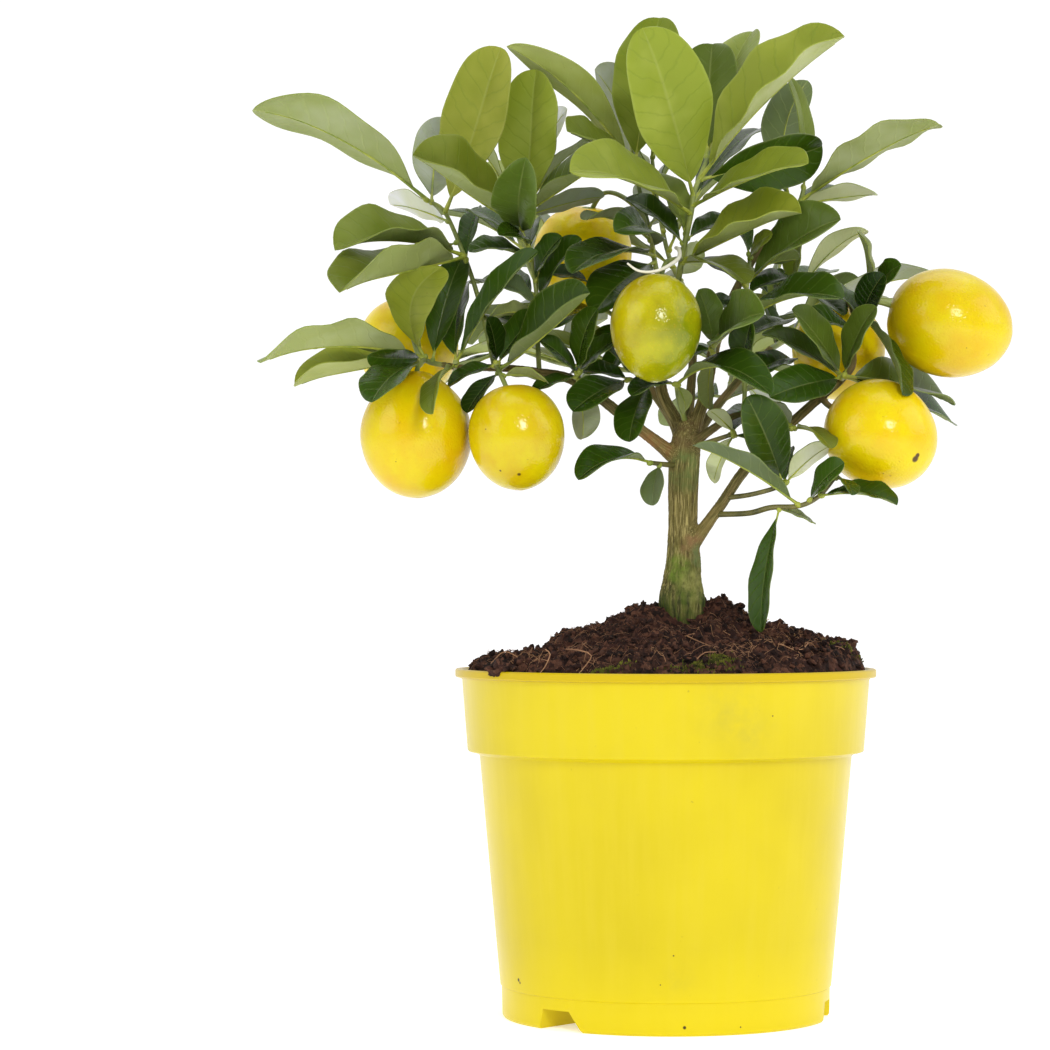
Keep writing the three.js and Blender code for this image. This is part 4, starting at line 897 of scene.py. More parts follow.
# twigs: drawn points x, z, y, radius. leaves: foot x, z, tip x, z, drawn width, turn, fold, bow, tip y, sway,
# the inner ones last. tones: one letter a leaf, looked up in the table of tones further down.
shoots = {
    "shoot_top_left": {
        "twigs": [[[-61, 231, -4, 1], [-64, 245, 4, 0.95], [-68, 260, 8, 0.95], [-73, 274, 8, 0.9],
            [-79, 287, 6, 0.85], [-85, 291, 6, 0.8]]],
        "leaves": [[-85, 291, -147, 325, 11.5, 112, 14, 0.07, -10],
            [-78, 287, -60, 346, 23, 28, 16, -0.04, -14], [-70, 272, -118, 274.5, 12.5, 70, 33, 0.07, -26],
            [-74, 270, -117, 260, 13, 78, 36, 0, -40], [-74, 276.5, -90, 263, 4.5, 84, 14, 0.08, -12],
            [-76, 284, -98, 290, 6, 112, 12, 0.03, 34], [-83, 291, -80, 320, 15, 150, 10, 0.04, 30],
            [-69, 270, -67, 289, 7, 40, 20, 0.05, 22]],
        "tones": "pymmgvgd"},
    "shoot_left_middle": {
        "twigs": [[[-45, 229.5, -8, 1.05], [-45.5, 240, -7, 1], [-45.5, 252, -5, 0.95],
            [-46.5, 262, -3, 0.95], [-48, 272, -1, 0.9], [-51.5, 281, 0, 0.85], [-50, 287, 1, 0.8]]],
        "leaves": [[-54, 283, -89, 308.5, 16, 60, 42, -0.03, -34],
            [-50, 284, -47, 338, 21.5, 30, 14, -0.03, -10], [-51.5, 280, -50, 306, 15.5, 24, 30, 0.08, -30],
            [-46, 286, -22, 305, 11, 70, 32, 0, -30], [-46, 284, -22, 293, 6, 125, 14, 0.03, 14],
            [-48, 288, -36, 324, 6, 116, 14, 0.05, 34], [-44, 262, -37, 278, 8, 58, 22, 0.08, -16],
            [-44, 255, -30, 277, 8, 62, 18, 0.06, -28], [-48, 252, -60, 262, 9, 58, 20, 0.08, -18],
            [-49, 250, -64, 248.5, 6, 112, 12, 0.1, -26], [-52, 269, -70, 273, 7, 64, 18, 0.1, -14],
            [-50, 274, -59, 279, 5, 60, 14, 0.1, -20], [-48, 273, -46, 285, 6, 40, 14, 0.05, -22],
            [-45.5, 240, -63, 250, 10, 52, 16, 0.06, 18], [-45.5, 243, -26, 251, 10, 56, 16, 0.06, 16],
            [-46, 257, -67, 262, 9, 58, 16, 0.06, 24], [-46.5, 264, -28, 262, 9, 60, 16, 0.08, 6],
            [-49, 275, -70, 288, 9, 56, 16, 0.06, 20]],
        "tones": "myeegvddgpdddddddd"},
    "shoot_middle": {
        "twigs": [[[4.5, 261, 3.4, 1.25], [7, 275, 0, 1.15], [9.5, 287, -3, 1.05], [10.5, 294, -3, 1],
            [14, 303, 1, 0.9], [16, 309, 5, 0.8]], [[6, 270, 1.2, 1], [4, 270, -12, 0.95],
            [0, 268, -24, 0.95], [-2.6, 258, -32, 0.95]]],
        "leaves": [[8.6, 292.5, -7, 352.5, 29, 16, 16, 0.03, -34],
            [6, 287, -33, 303, 13, 60, 26, 0.05, -44], [6.5, 278.5, -3, 301, 12, 46, 20, 0.06, -20],
            [10, 289, 51, 305, 9, 62, 24, 0.03, -46], [13, 298, 64.5, 350, 16.5, 62, 34, 0.05, -22],
            [18, 296, 57, 310, 18, -30, 20, 0, 6], [15, 306, 17, 347.5, 21, 20, 18, 0.02, 20],
            [18, 305, 30.5, 353, 14, 44, 18, 0.03, 8], [8, 269, 48, 288, 13, 66, 34, 0.01, -28],
            [6, 266, 29, 262, 7, 68, 14, 0.09, -24], [7.5, 277, 27, 284, 8, 58, 16, 0.08, 12],
            [7, 275, -14, 292, 8, 58, 16, 0.08, 22], [10, 290, 34, 318, 10, 56, 16, 0.05, 24]],
        "tones": "yymlydellmddd"},
    "shoot_middle_left": {
        "twigs": [[[1.6, 252, 6, 1.1], [-3, 266, 12, 1], [-5, 278, 12, 0.95], [-8, 290, 9, 0.9],
            [-11, 303, 8, 0.8]], [[-5, 278, 12, 0.9], [-12, 290, 20, 0.9], [-22, 293.5, 28, 0.9],
            [-29, 282, 32, 0.9]]],
        "leaves": [[-12, 304, -56, 347, 9.5, 116, 14, 0.075, -16],
            [-10, 303, -35, 316, 9, 64, 22, 0.02, -28], [-9, 303, -2, 356.7, 23, 24, 14, 0.02, 22],
            [-11, 304, -24, 338, 11, 118, 14, 0.06, 30], [-7, 276, -28, 285, 5, 100, 16, 0.1, -12],
            [-4, 273, -17, 281, 8, 58, 20, 0.1, -22], [-6, 282, 4, 285, 5, 108, 10, 0.1, 24],
            [-3, 269, -25, 251.5, 15, 38, 18, 0.06, -50], [-5, 271, -33, 267, 9, 62, 18, 0.06, -34]],
        "tones": "tmlgpdgdd"},
    "shoot_right_middle": {
        "twigs": [[[28, 214.6, -9, 0.95], [28.5, 222, -10, 0.95], [28, 231, -10, 0.95], [25, 238, -9, 0.9],
            [26.5, 246, -8, 0.9], [29.5, 261, -6, 0.85], [30.5, 272, -5, 0.75]]],
        "leaves": [[28.5, 230, 31, 248, 9, 50, 20, 0.04, -30], [26, 246, 63, 257, 8, 70, 24, 0.1, -40],
            [30, 262, 62, 285, 14.5, 58, 28, 0.04, -34], [30.5, 264, 48, 270, 5, 100, 14, 0.08, 4],
            [30.5, 270, 38, 279, 4, 60, 10, 0.08, -14], [28.3, 225, 45, 235, 9, 52, 16, 0.06, 8],
            [25.5, 240, 44, 248, 9, 56, 16, 0.06, 12], [29, 257, 47, 263, 8, 60, 16, 0.08, 14],
            [29.5, 260, 13, 270, 9, 56, 16, 0.06, 2], [28.5, 252, 11, 253, 8, 56, 16, 0.06, 6],
            [30.5, 271, 22, 288, 8, 56, 14, 0.08, 2]],
        "tones": "ddedmdddddd"},
    "shoot_right_top": {
        "twigs": [[[43, 284.5, 16, 1], [48, 290, 12, 0.9], [50, 296, 12, 0.8]]],
        "leaves": [[48.5, 290.5, 98, 319.3, 8.5, 108, 14, 0.03, -18],
            [48, 289, 76, 293.5, 5.5, 106, 12, 0.02, 2], [48, 288, 65, 296, 6, 62, 14, 0.04, 30],
            [50, 295, 45, 336, 5.5, 50, 10, 0.08, 22], [45, 287.5, 51, 334, 14, 140, 14, 0.04, 36, 0.12]],
        "tones": "pqdmw"},
    "shoot_right_behind": {
        "twigs": [[[24, 255, 10.5, 1], [32, 257, 18, 0.9], [42, 256, 22, 0.85], [50, 261, 24, 0.8]]],
        "leaves": [[46, 257, 48, 276, 7, 56, 16, 0.04, 20], [39, 255, 40, 266, 6, 60, 12, 0.04, 14],
            [50, 261, 72, 281, 6.5, 122, 16, 0.06, 10, 0.04], [38, 256, 22, 268, 8, 60, 14, 0.08, 26],
            [42, 256, 60, 266, 8, 56, 14, 0.06, 34], [34, 256, 40, 240, 8, 60, 14, 0.06, 24],
            [48, 259, 64, 250, 8, 60, 14, 0.06, 36]],
        "tones": "mdqdddd"},
    "shoot_left_end": {
        "twigs": [[[-79, 232, 1.2, 1.05], [-84, 233, 2.5, 1.05], [-88, 235.5, 3, 1], [-90, 241, 6, 0.9]],
            [[-88, 235.5, 3, 1], [-89, 246, 6, 0.9], [-91.5, 256.5, 18, 0.9], [-92, 250, 28, 0.9]],
            [[-86, 234, 2.8, 1], [-88.5, 231, -8, 0.95], [-90, 221, -15, 0.95]]],
        "leaves": [[-85, 235.5, -80, 267, 17.5, 30, 14, 0.04, -14, -0.25],
            [-83, 234.5, -73, 271, 12.5, 26, 20, 0.05, 10], [-87, 234, -145, 233.5, 8, 102, 16, 0.08, -24],
            [-88, 234, -133, 226, 12, 70, 34, 0, 4], [-87, 233.5, -106, 235, 8, -40, 18, 0.02, -16],
            [-87, 232, -105, 219, 11, 50, 18, 0.06, -42]],
        "tones": "ydpldd"},
    "shoot_left_limb_end": {
        "twigs": [[[-75, 231, 0, 0.95], [-75, 233, -6, 0.85]]],
        "leaves": [[-75, 232, -46, 273, 7, 62, 24, 0.05, -20],
            [-75, 231, -83.4, 215, 4.5, 60, 26, 0.06, -40], [-74, 232.5, -72, 262, 10, 48, 18, 0.04, 16]],
        "tones": "dmd"},
    "shoot_left_limb": {
        "twigs": [[[-60, 231, -5, 1.1], [-60.5, 232.5, -11, 0.9]], [[-60.3, 231.8, -8, 1],
            [-59, 229, -18, 0.95], [-54.5, 219, -26, 0.95]]],
        "leaves": [[-61, 232, -63.5, 249, 9, 48, 18, 0.05, -20],
            [-60, 232, -45, 251, 12, 44, 20, 0.05, -28], [-59, 231, -27, 258, 12, 66, 38, -0.02, -44],
            [-61, 229, -71, 215, 8, 56, 16, 0.04, -22], [-58, 228.5, -42, 226, 5, 108, 12, 0.08, -26],
            [-60.5, 232, -78, 224, 8, 60, 16, 0.08, -6]],
        "tones": "kddkpd"},
    "shoot_left_node": {
        "twigs": [[[-31, 225.5, -8, 1.1], [-31, 229, -14, 0.9]]],
        "leaves": [[-31, 229, -18, 241, 8, 56, 16, 0.06, -26], [-31, 229, -25, 252, 8, 52, 14, 0.06, -20],
            [-30, 224, -29, 205.5, 12, 140, 14, 0.04, -12], [-31, 228.5, -45, 241, 8, 56, 14, 0.06, -22],
            [-31, 228, -48, 222, 8, 62, 14, 0.06, -20]],
        "tones": "ddgdd"},
    "shoot_behind_left": {
        "twigs": [[[-2, 240, 7.5, 1.1], [-12, 246, 18, 0.95], [-22, 252, 24, 0.85]]],
        "leaves": [[-12, 246, -28, 238, 9, 56, 16, 0.06, 14], [-16, 248, -14, 266, 9, 56, 16, 0.06, 18],
            [-22, 252, -42, 246, 9, 58, 16, 0.06, 20], [-10, 245, -20, 229, 9, 50, 16, 0.06, 12]],
        "tones": "dddd"},
    "shoot_inner_left": {
        "twigs": [[[-1.4, 225, 4.6, 1.1], [-8, 226, -4, 0.95], [-14, 227, -8, 0.85]]],
        "leaves": [[-13, 227, -33, 215.5, 13, 46, 18, 0.06, -26], [-9, 226, -22, 242, 9, 50, 16, 0.06, -16],
            [-6, 225, -13, 205, 11, 40, 16, 0.05, -14], [-12, 227, -34, 229, 9, 62, 16, 0.08, -30],
            [-5, 225.5, 4, 240, 8, 50, 16, 0.05, -10]],
        "tones": "ddddd"},
    "shoot_fork": {
        "twigs": [[[7.5, 211, -1, 1.2], [5, 219, -8, 0.95], [4, 225.5, -12, 0.85]]],
        "leaves": [[5, 225, 38, 221.5, 8, 62, 26, 0.2, -26], [3.5, 226, -12, 221.5, 8, 62, 18, 0.08, -26],
            [6, 226, 7.5, 215.5, 5, 140, 10, 0.08, -20]],
        "tones": "ddp"},
    "shoot_inner_right": {
        "twigs": [[[17, 235, 3, 1.2], [17.5, 239, -6, 0.9]]],
        "leaves": [[17.5, 239, 12, 259, 11, 34, 16, 0.04, -18],
            [17.5, 239, 34, 251.5, 10, 60, 30, 0.02, -16], [18, 236, 15.5, 216, 6, 130, 12, 0.05, -12],
            [17.5, 238, 4, 233, 8, 60, 14, 0.06, 2]],
        "tones": "eepd"},
    "shoot_right_end": {
        "twigs": [[[67, 238.5, 2.6, 1.1], [68.5, 245, 3, 0.95], [71, 251, 4, 0.9], [76, 258, 6, 0.8]],
            [[71, 251, 4, 0.95], [76, 254.5, 4, 0.95], [88, 250.5, 5, 0.95]]],
        "leaves": [[70, 248, 78, 264.5, 12, 40, 18, 0.05, -12], [76, 258, 84, 268, 6, 60, 14, 0.08, -10],
            [71, 250, 85.5, 221.5, 5.5, 70, 22, 0.05, -30], [68, 243, 50, 248, 10, 56, 20, 0.08, -14],
            [72, 254, 70, 280, 4, 80, 14, 0.05, -8], [70, 249, 56, 262, 8, 60, 16, 0.06, 14]],
        "tones": "kdddmd"},
    "shoot_right_limb": {
        "twigs": [[[63, 227, -3.4, 1.2], [64, 228, -11, 0.95]]],
        "leaves": [[62, 228, 46, 252, 10, 46, 20, 0.03, -24], [63, 226.5, 38, 221, 14, 28, 14, 0.04, -30],
            [66, 227, 75, 253, 7, 58, 20, 0.05, -26], [66, 227, 101, 219, 11, 62, 20, 0.04, 14],
            [66, 226, 103, 211.3, 9, 60, 18, 0.02, 30], [62, 229, 35, 243.5, 8, 56, 18, 0.06, -10]],
        "tones": "edeede"},
    "shoot_right_limb_low": {
        "twigs": [[[44, 210, -9, 1.1], [46, 209.5, -15, 0.9]]],
        "leaves": [[46, 208.5, 59, 202.5, 5, 70, 14, 0.1, -28], [45, 211, 38, 219, 5, 112, 12, 0.06, -20],
            [46, 209, 36, 204, 6, 60, 12, 0.08, -22]],
        "tones": "mgd"},
    "shoot_fork_right": {
        "twigs": [[[12, 203, -2, 1.2], [19, 205.5, -10, 0.9], [25, 207.5, -14, 0.8]]],
        "leaves": [[25, 208, 16, 216, 5, 140, 12, 0.06, -22], [25, 207, 17, 190, 6, 128, 14, 0.06, -18],
            [24, 207.5, 40, 200, 8, 58, 16, 0.08, -6], [23, 207, 36, 217, 8, 60, 16, 0.06, 8]],
        "tones": "qqdd"},
    "shoot_low_right": {
        "twigs": [[[18.5, 178.5, -3.4, 1.2], [30, 179, -14, 1.1], [38, 181, -20, 1.05],
            [48, 181.6, -24, 0.95], [55, 185, -26, 0.85], [61, 192, -28, 0.8]]],
        "leaves": [[48, 182, 10.5, 203.5, 4.5, 102, 18, 0.04, -40],
            [51, 184, 64, 197, 6, 58, 16, 0.06, -40], [55, 185.5, 83, 182.5, 6.5, 66, 20, 0.08, -38],
            [61, 193, 67, 186, 4, 60, 14, 0.08, -34], [41, 180.4, 34, 136.5, 6.5, 54, 20, 0.04, -34],
            [40, 180, 53.5, 175.5, 2.6, 70, 10, 0.02, -26]],
        "tones": "wddddm"},
    "shoot_low_right_upper": {
        "twigs": [[[22, 184.5, -4.8, 1.1], [30, 185.5, -12, 0.95], [38, 187.5, -15, 0.9],
            [43, 189.5, -16, 0.85]]],
        "leaves": [[42, 189.5, 29.5, 220.5, 16.5, 22, 16, 0.04, -26],
            [43, 189.5, 59, 203.5, 12, 132, 14, 0.06, -22], [42.5, 190, 45, 203, 5, 56, 12, 0.04, -10]],
        "tones": "dqd"},
    "shoot_trunk": {
        "twigs": [[[5, 196, -1, 1.3], [-1, 196.5, -8, 1], [-5, 197, -12, 0.85]]],
        "leaves": [[-5, 197.5, -31, 191.5, 6.5, 66, 24, 0.13, -32],
            [-2, 196.5, -4.5, 182, 8, 40, 16, 0.05, -18]],
        "tones": "dg"},
}
backShoots = {
    "shoot_back_left": {"twig": [(-21, 44, 247, 1.1), (-42, 62, 262, 1), (-52, 74, 284, 0.9),
                                 (-56, 80, 300, 0.8)],
                        "leaves": 8, "first": 0},
    "shoot_back_middle": {"twig": [(10, 41.5, 261, 1.1), (4, 56, 276, 1), (0, 66, 298, 0.9),
                                   (-2, 70, 316, 0.8)],
                          "leaves": 8, "first": 3},
    "shoot_back_right": {"twig": [(41, 43.5, 240.7, 1.1), (52, 58, 248, 1), (60, 70, 254, 0.9),
                                  (64, 78, 258, 0.8)],
                         "leaves": 7, "first": 7},
    "shoot_back_low_left": {"twig": [(-8.9, 32, 232, 1.1), (-34, 60, 236, 1), (-54, 82, 244, 0.9)],
                            "leaves": 6, "first": 2},
    "shoot_back_low_right": {"twig": [(20, 21, 218, 1.1), (26, 54, 226, 1), (30, 86, 238, 0.9)],
                             "leaves": 6, "first": 0},
}
woody = ("shoot_low_right", "shoot_low_right_upper", "shoot_trunk", "shoot_left_node", "shoot_fork_right")
# upper side, underside, roughness of the upper side: young y, light l, middle m, even e, dark d,
# darkest k, seen from below p, q, t, v and w, greyish g
# Some tones carry painted light and shade: q is p made paler, painted light on lit undersides; g is painted
# shade, an underside in shade; d and k, the dark green of older leaves, are also given to leaves deep in the
# crown as painted shade.
tones = {
    "y": ("#7b8526", "#9ea662", 0.4), "l": ("#717c1e", "#949d57", 0.38), "m": ("#5f6c1e", "#8b9556", 0.34),
    "e": ("#47581a", "#7c8750", 0.3), "d": ("#2a4007", "#6c7840", 0.26), "k": ("#1a2c04", "#505c2c", 0.24),
    "p": ("#6c7a2a", "#8b9459", 0.42), "q": ("#7f8a50", "#b9bf90", 0.45), "t": ("#6c7a2a", "#8c9546", 0.42),
    "v": ("#8f967c", "#c4c8b4", 0.5), "w": ("#4a5a28", "#626f45", 0.42), "g": ("#55643a", "#8d9476", 0.42),
}
shifts = [0, -5, 5, -10, 10, -15, 15, -20, 20, -26, 26, -32, 32, -40, 40]  # mm a tip may stand off its row
blade = {
    "stalk": 0.09, "halfSkin": 0.43, "narrowest": 0.22, "widest": 0.56, "twigBare": 0.55, "twigLast": 0.97,
    "rows": 26, "columns": [0.06, 0.16, 0.34, 0.56, 0.78, 0.92, 1],
    "broadest": 0.56, "thick": 0.36, "thinFrom": 2.6, "cup": 0.05, "wave": 0.03, "waves": (1.6, 3.4),
    "curl": 0.04, "twist": 12, "seed": 3,
}
spiral = {  # how the leaves stand on the back shoots
    "first": 0.12, "room": 0.86, "around": 137.5, "toBack": 0.35, "upTwig": 0.9, "tilt": 1.5,
    "long": 50, "shortest": 0.8, "range": 0.3, "wide": 0.4, "turn": (70, 40), "fold": 16, "bow": 0.1,
}
stalk = {"end": 0.94, "steps": 14, "sunk": 0.28, "sunkFrom": 0.14, "least": 0.12, "usualWide": 18,
         "thick": [(0, 0.75), (0.1, 0.5), (1.02, 0)]}  # way along the leaf, radius in mm
bud = {"up": 0.6, "long": 1.5, "wide": 1.05}


def nearestOnTwigs(twigs, x, z):
    best, spot = 1e9, None
    for twig in twigs:
        for i in range(1, len(twig)):
            (ax, az, ay, _), (bx, bz, by, _) = twig[i - 1], twig[i]
            dx, dz = bx - ax, bz - az
            t = ((x - ax) * dx + (z - az) * dz) / (dx * dx + dz * dz)
            t = min(max(t, blade["twigBare"] if i == 1 else 0), blade["twigLast"])
            point = (ax + dx * t, az + dz * t, ay + (by - ay) * t)
            far = math.hypot(point[0] - x, point[1] - z)
            if far < best:
                best, spot = far, point
    return spot


def drawnLeaf(twigs, row, shift):
    x0, z0, x1, z1, seen, turn, fold, bow, y1, sway = (*row, 0)[:10]
    foot, tip = onSight(*nearestOnTwigs(twigs, x0, z0)), onSight(x1, z1, y1 + shift)
    long = (tip - foot).length
    turn, fold = math.radians(turn), math.radians(fold)
    edges = (0, math.cos(turn - fold), -math.cos(turn + fold))
    drawn = max(edges) - min(edges)
    wide = min(max(2 * seen / drawn, blade["narrowest"] * long), blade["widest"] * long)
    return {"foot": foot, "tip": tip, "wide": wide, "turn": turn, "fold": fold, "bow": bow, "sway": sway}


def spiralLeaf(shoot, i, shift):
    twig, first = [Vector(p[:3]) for p in shoot["twig"]], shoot["first"]
    t = spiral["first"] + spiral["room"] * i / (shoot["leaves"] - 1)
    at = min(t * (len(twig) - 1), len(twig) - 1.001)
    low, high = twig[int(at)], twig[int(at) + 1]
    foot = low.lerp(high, at - int(at))
    around = math.radians(spiral["around"]) * (i + first)
    outwards = Vector((math.cos(around), spiral["toBack"] + math.sin(around), 0))
    out = (outwards + spiral["upTwig"] * (high - low).normalized()).normalized()
    out.z += math.radians(shift) * spiral["tilt"]
    long = spiral["long"] * (spiral["shortest"] + spiral["range"] * scatter(i + first * 7))
    turn = spiral["turn"][0] + spiral["turn"][1] * scatter(i * 3 + first)
    return {"foot": foot, "tip": foot + out.normalized() * long, "wide": spiral["wide"] * long, "sway": 0,
            "turn": math.radians(turn), "fold": math.radians(spiral["fold"]), "bow": spiral["bow"]}


def leafAxes(leaf):  # along the leaf, out of its upper side, and across it
    along = (leaf["tip"] - leaf["foot"]).normalized()
    toFront = (Vector((0, -1, 0)) + along * along.y).normalized()
    toSky = along.cross(toFront) * (-1 if along.x > 0 else 1)
    upper = toFront * math.cos(leaf["turn"]) + toSky * math.sin(leaf["turn"])
    return along, upper, along.cross(upper)


def fitted(make, corners):  # the leaf with the shift whose tip is a corner of the solid it stands for
    def miss(leaf):
        upper = leafAxes(leaf)[1]
        return corners.find(leaf["tip"] + upper * blade["halfSkin"])[2]
    return min((make(shift) for shift in shifts), key=miss)


def middleAt(leaf, axes, s):
    along, upper, side = axes
    long = (leaf["tip"] - leaf["foot"]).length
    arch = long * 4 * s * (1 - s)
    droop = blade["curl"] * leaf["curl"] * long * max(0, (s - 0.7) / 0.3) ** 2
    return leaf["foot"] + along * long * s + upper * (leaf["bow"] * arch - droop) + side * leaf["sway"] * arch


def halfWidth(leaf, s):  # narrow at the stalk, widest past the middle, blunt at the tip
    t = max((s - blade["stalk"]) / (1 - blade["stalk"]), 0)
    broad = blade["broadest"]
    if t < broad:
        return leaf["wide"] / 2 * math.sin(math.pi / 2 * t / broad) ** 0.85
    return leaf["wide"] / 2 * max(0, 1 - ((t - broad) / (1 - broad)) ** 2.4) ** 0.48


def addBlade(leaf, sheet):
    _, upper, side = axes = leafAxes(leaf)
    across = [-u for u in reversed(blade["columns"])] + [0] + blade["columns"]
    start, count = len(sheet["points"]), len(across)
    top, under, rough = tones[leaf["tone"]]
    top, under = np.array(tint(top)), np.array(tint(under))
    top[:3] *= leaf["shade"] * np.array([1 + leaf["warm"], 1, 1 - leaf["warm"]])
    under[:3] *= leaf["shade"]
    last = blade["rows"]
    for j in range(last + 1):
        s = blade["stalk"] + (1 - blade["stalk"]) * (1 - math.cos(math.pi * j / last)) / 2
        middle = middleAt(leaf, axes, s)
        half = max(halfWidth(leaf, s), 0.45 if j == 0 else 0)
        cosine, sine = math.cos(leaf["twist"] * (s - 0.4)), math.sin(leaf["twist"] * (s - 0.4))
        for u in across if j < last else [0]:
            ridge = (math.sqrt(u * u + 0.015) - math.sqrt(0.015)) / (math.sqrt(1.015) - math.sqrt(0.015))
            rise = half * (math.sin(leaf["fold"]) * ridge + blade["cup"] * math.sin(math.pi * abs(u)))
            rise += blade["wave"] * leaf["wide"] * abs(u) ** 2 * min(1, half / 3) * math.sin(
                leaf["waves"] * 6.283 * s + leaf["phase"] + (1.9 if u > 0 else 0))
            flat = half * math.cos(leaf["fold"]) * u
            sheet["points"].append((middle + side * (flat * cosine - rise * sine)
                                    + upper * (flat * sine + rise * cosine)) * mm)
            sheet["uv"].append((0.5 + u / 2, s))
            sheet["top"].append(top)
            sheet["under"].append(under)
            sheet["rough"].append(rough)
            sheet["body"].append(max(0.15, min(1, half / blade["thinFrom"])))
    for j in range(last):
        for k in range(count - 1):
            a, b = start + j * count + k, start + (j + 1) * count + k
            sheet["faces"].append((a, a + 1, b + 1, b) if j < last - 1 else (a, a + 1, start + last * count))


def stalkLine(leaf):  # stalk and midrib, sunk into the blade from below
    axes = leafAxes(leaf)
    stout = min(1.25, max(0.7, leaf["wide"] / stalk["usualWide"]))
    line = []
    for j in range(stalk["steps"] + 1):
        s = stalk["end"] * j / stalk["steps"]
        sink = stalk["sunk"] * min(1, s / stalk["sunkFrom"])
        thick = stout * float(np.interp(s, *zip(*stalk["thick"])))
        line.append((*(middleAt(leaf, axes, s) - axes[1] * sink), max(stalk["least"], thick)))
    return line


def makeBuds(leaves):  # a small swelling at the foot of every stalk
    shape, sides = ballShape(2)
    points, faces = [], []
    for leaf in leaves:
        along, upper, side = leafAxes(leaf)
        start = len(points)
        middle = leaf["foot"] + along * bud["up"]
        points += [(middle + along * p.z * bud["long"] + (upper * p.x + side * p.y) * bud["wide"]) * mm
                   for p in shape]
        faces += [tuple(start + i for i in face) for face in sides]
    return rounded(meshPiece("buds", points, faces), stemGreen)


def makeShoot(name, twigs, leaves, twigSkin):
    sheet = {"points": [], "faces": [], "uv": [], "top": [], "under": [], "rough": [], "body": []}
    for leaf in leaves:
        addBlade(leaf, sheet)
    leafage = rounded(meshPiece(name, sheet["points"], sheet["faces"]), leafTop, leafUnder)
    mesh = leafage.data
    corners = mesh.uv_layers.new(name="blade")
    for loop in mesh.loops:
        corners.data[loop.index].uv = sheet["uv"][loop.vertex_index]
    store(mesh, "topTone", "FLOAT_COLOR", sheet["top"])
    store(mesh, "underTone", "FLOAT_COLOR", sheet["under"])
    store(mesh, "rough", "FLOAT", sheet["rough"])
    body = leafage.vertex_groups.new(name="body")
    for k, weight in enumerate(sheet["body"]):
        body.add([k], weight, "REPLACE")
    setAll(leafage.modifiers.new("thickness", "SOLIDIFY"), thickness=blade["thick"] * mm, offset=0,
           material_offset=1, vertex_group=body.name)
    applyAll(leafage)
    smooth(leafage, 50)
    stalks = rounded(rods("stalks", [stalkLine(leaf) for leaf in leaves]), stemGreen)
    stem = rounded(rods("twigs", twigs), twigSkin)
    return joinUp([leafage, stalks, stem, makeBuds(leaves)], name)


# the two sides of a leaf: strength of the grey painted sheen, veins and rib, which lie sunk above and stand
# out below
leafSides = {
    "leaf_upper_side": {"tone": "topTone", "gloss": 0.15, "paintedSheen": 0.8, "vein": 0.22, "rib": 0.3,
                        "veinHigh": -0.8, "ribHigh": -1.2},
    "leaf_underside": {"tone": "underTone", "gloss": 0.1, "paintedSheen": 0.6, "vein": 0.2, "rib": 0.5,
                       "veinHigh": 1.0, "ribHigh": 1.2, "rough": 0.62, "veinPale": True},
}


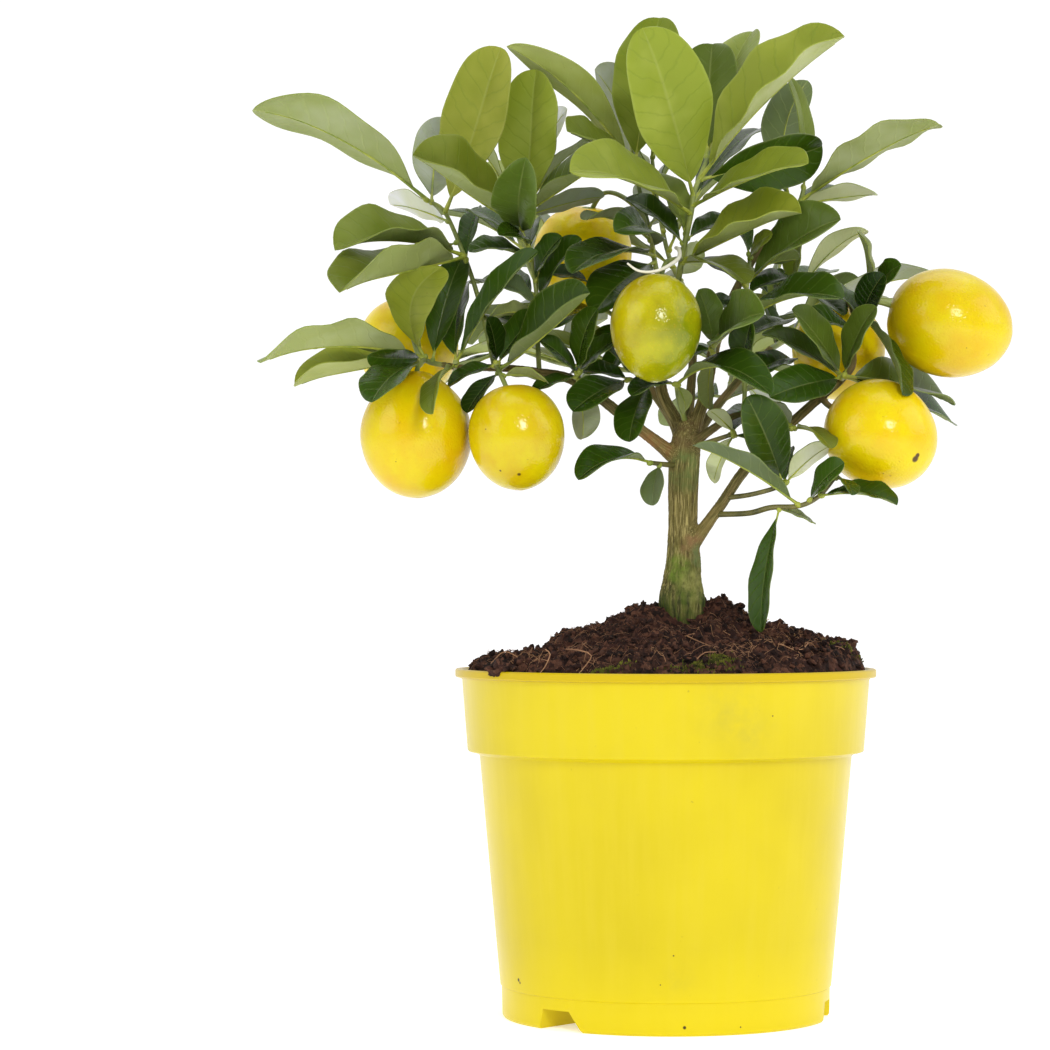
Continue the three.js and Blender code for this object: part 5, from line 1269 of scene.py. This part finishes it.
def leafSkin(name):
    look = leafSides[name]
    material, surface = newMaterial(name, Subsurface_Weight=0.06, Subsurface_Scale=0.002,
                                    Subsurface_Radius=(0.6, 1.0, 0.15),
                                    Specular_IOR_Level=look["gloss"])
    where, uv = place(), put("UVMap", uv_map="blade").outputs[0]
    out = sums("ABSOLUTE", sums("MULTIPLY_ADD", axis(uv, "X"), 2.0, -1.0))
    run = sums("MULTIPLY_ADD", out, -1.5, times(axis(uv, "Y"), 9.5))
    wobble = sums("MULTIPLY_ADD", grain(where, 170, 2), 0.7, run)
    vein = spread(sums("PINGPONG", wobble, 0.5), 0.09, 0.0)
    rib = spread(out, 0.06, 0.015)
    patch = grain(where, 60, 4)
    tone = blendTo(spread(patch, 0.3, 0.7, 0.0, 0.45), stored(look["tone"], "Color"),
                   (0.45, 0.45, 0.45, 1), "OVERLAY")
    pale = layered(tone, (0.45, "#b3bb74"))
    # painted sheen: pale greyish patches multiplied into the tone, a painted reflection of the soft studio
    # light
    paintedSheen = clouds(where, 34, 3, 0.46, 0.72, 0, look["paintedSheen"], 0.6)
    tone = blendTo(paintedSheen, tone, (1.5, 1.4, 2.6, 1), "MULTIPLY")
    tone = layered(tone, (times(vein, look["vein"]), pale if "veinPale" in look else "#556a1c"),
                   (times(rib, look["rib"]), pale), (spread(out, 0.93, 1.0, 0, 0.3), pale),
                   (clouds(where, 420, 3, 0.72, 0.78, 0, 0.5, 0.6), "#6b5a1e"))
    rough = look.get("rough") or sums("MULTIPLY_ADD", patch, 0.16,
                                      sums("SUBTRACT", stored("rough", "Fac"), 0.08))
    lift = sums("MULTIPLY_ADD", vein, look["veinHigh"], times(rib, look["ribHigh"]))
    skin = sums("MULTIPLY_ADD", grain(where, 600, 3), 0.5, lift)
    feed(surface, {"Base Color": tone, "Roughness": rough, "Normal": raised(skin, 0.35, 0.00025)})
    return material


leafTop = leafSkin("leaf_upper_side")
leafUnder = leafSkin("leaf_underside")
draw = random.Random(blade["seed"])


def dressed(leaf, tone):
    return {**leaf, "tone": tone, "shade": draw.uniform(0.88, 1.1), "warm": draw.uniform(-0.05, 0.08),
            "waves": draw.uniform(*blade["waves"]), "phase": draw.uniform(0, 6.283),
            "curl": draw.uniform(0, 1),
            "twist": math.radians(draw.uniform(-blade["twist"], blade["twist"]))}


def cornersOf(node):
    return lookup([vertex.co / mm for vertex in nodes[node].data.vertices])


for name, shoot in shoots.items():
    corners = cornersOf(name)
    leaves = [dressed(fitted(lambda shift: drawnLeaf(shoot["twigs"], row, shift), corners), tone)
              for row, tone in zip(shoot["leaves"], shoot["tones"])]
    twigs = [placedLine(twig) for twig in shoot["twigs"]]
    skin = twigBrown if name in woody else twigGreen
    finishPiece(makeShoot(name, twigs, leaves, skin), name.replace("shoot", "leaves"), "leaf", name)
for name, shoot in backShoots.items():
    corners = cornersOf(name)
    leaves = [dressed(fitted(lambda shift: spiralLeaf(shoot, i, shift), corners), "mdmgddm"[i % 7])
              for i in range(shoot["leaves"])]
    finishPiece(makeShoot(name, [smoothLine(shoot["twig"], 1)], leaves, twigGreen),
                name.replace("shoot", "leaves"), "leaf", name)
print("leaves done")
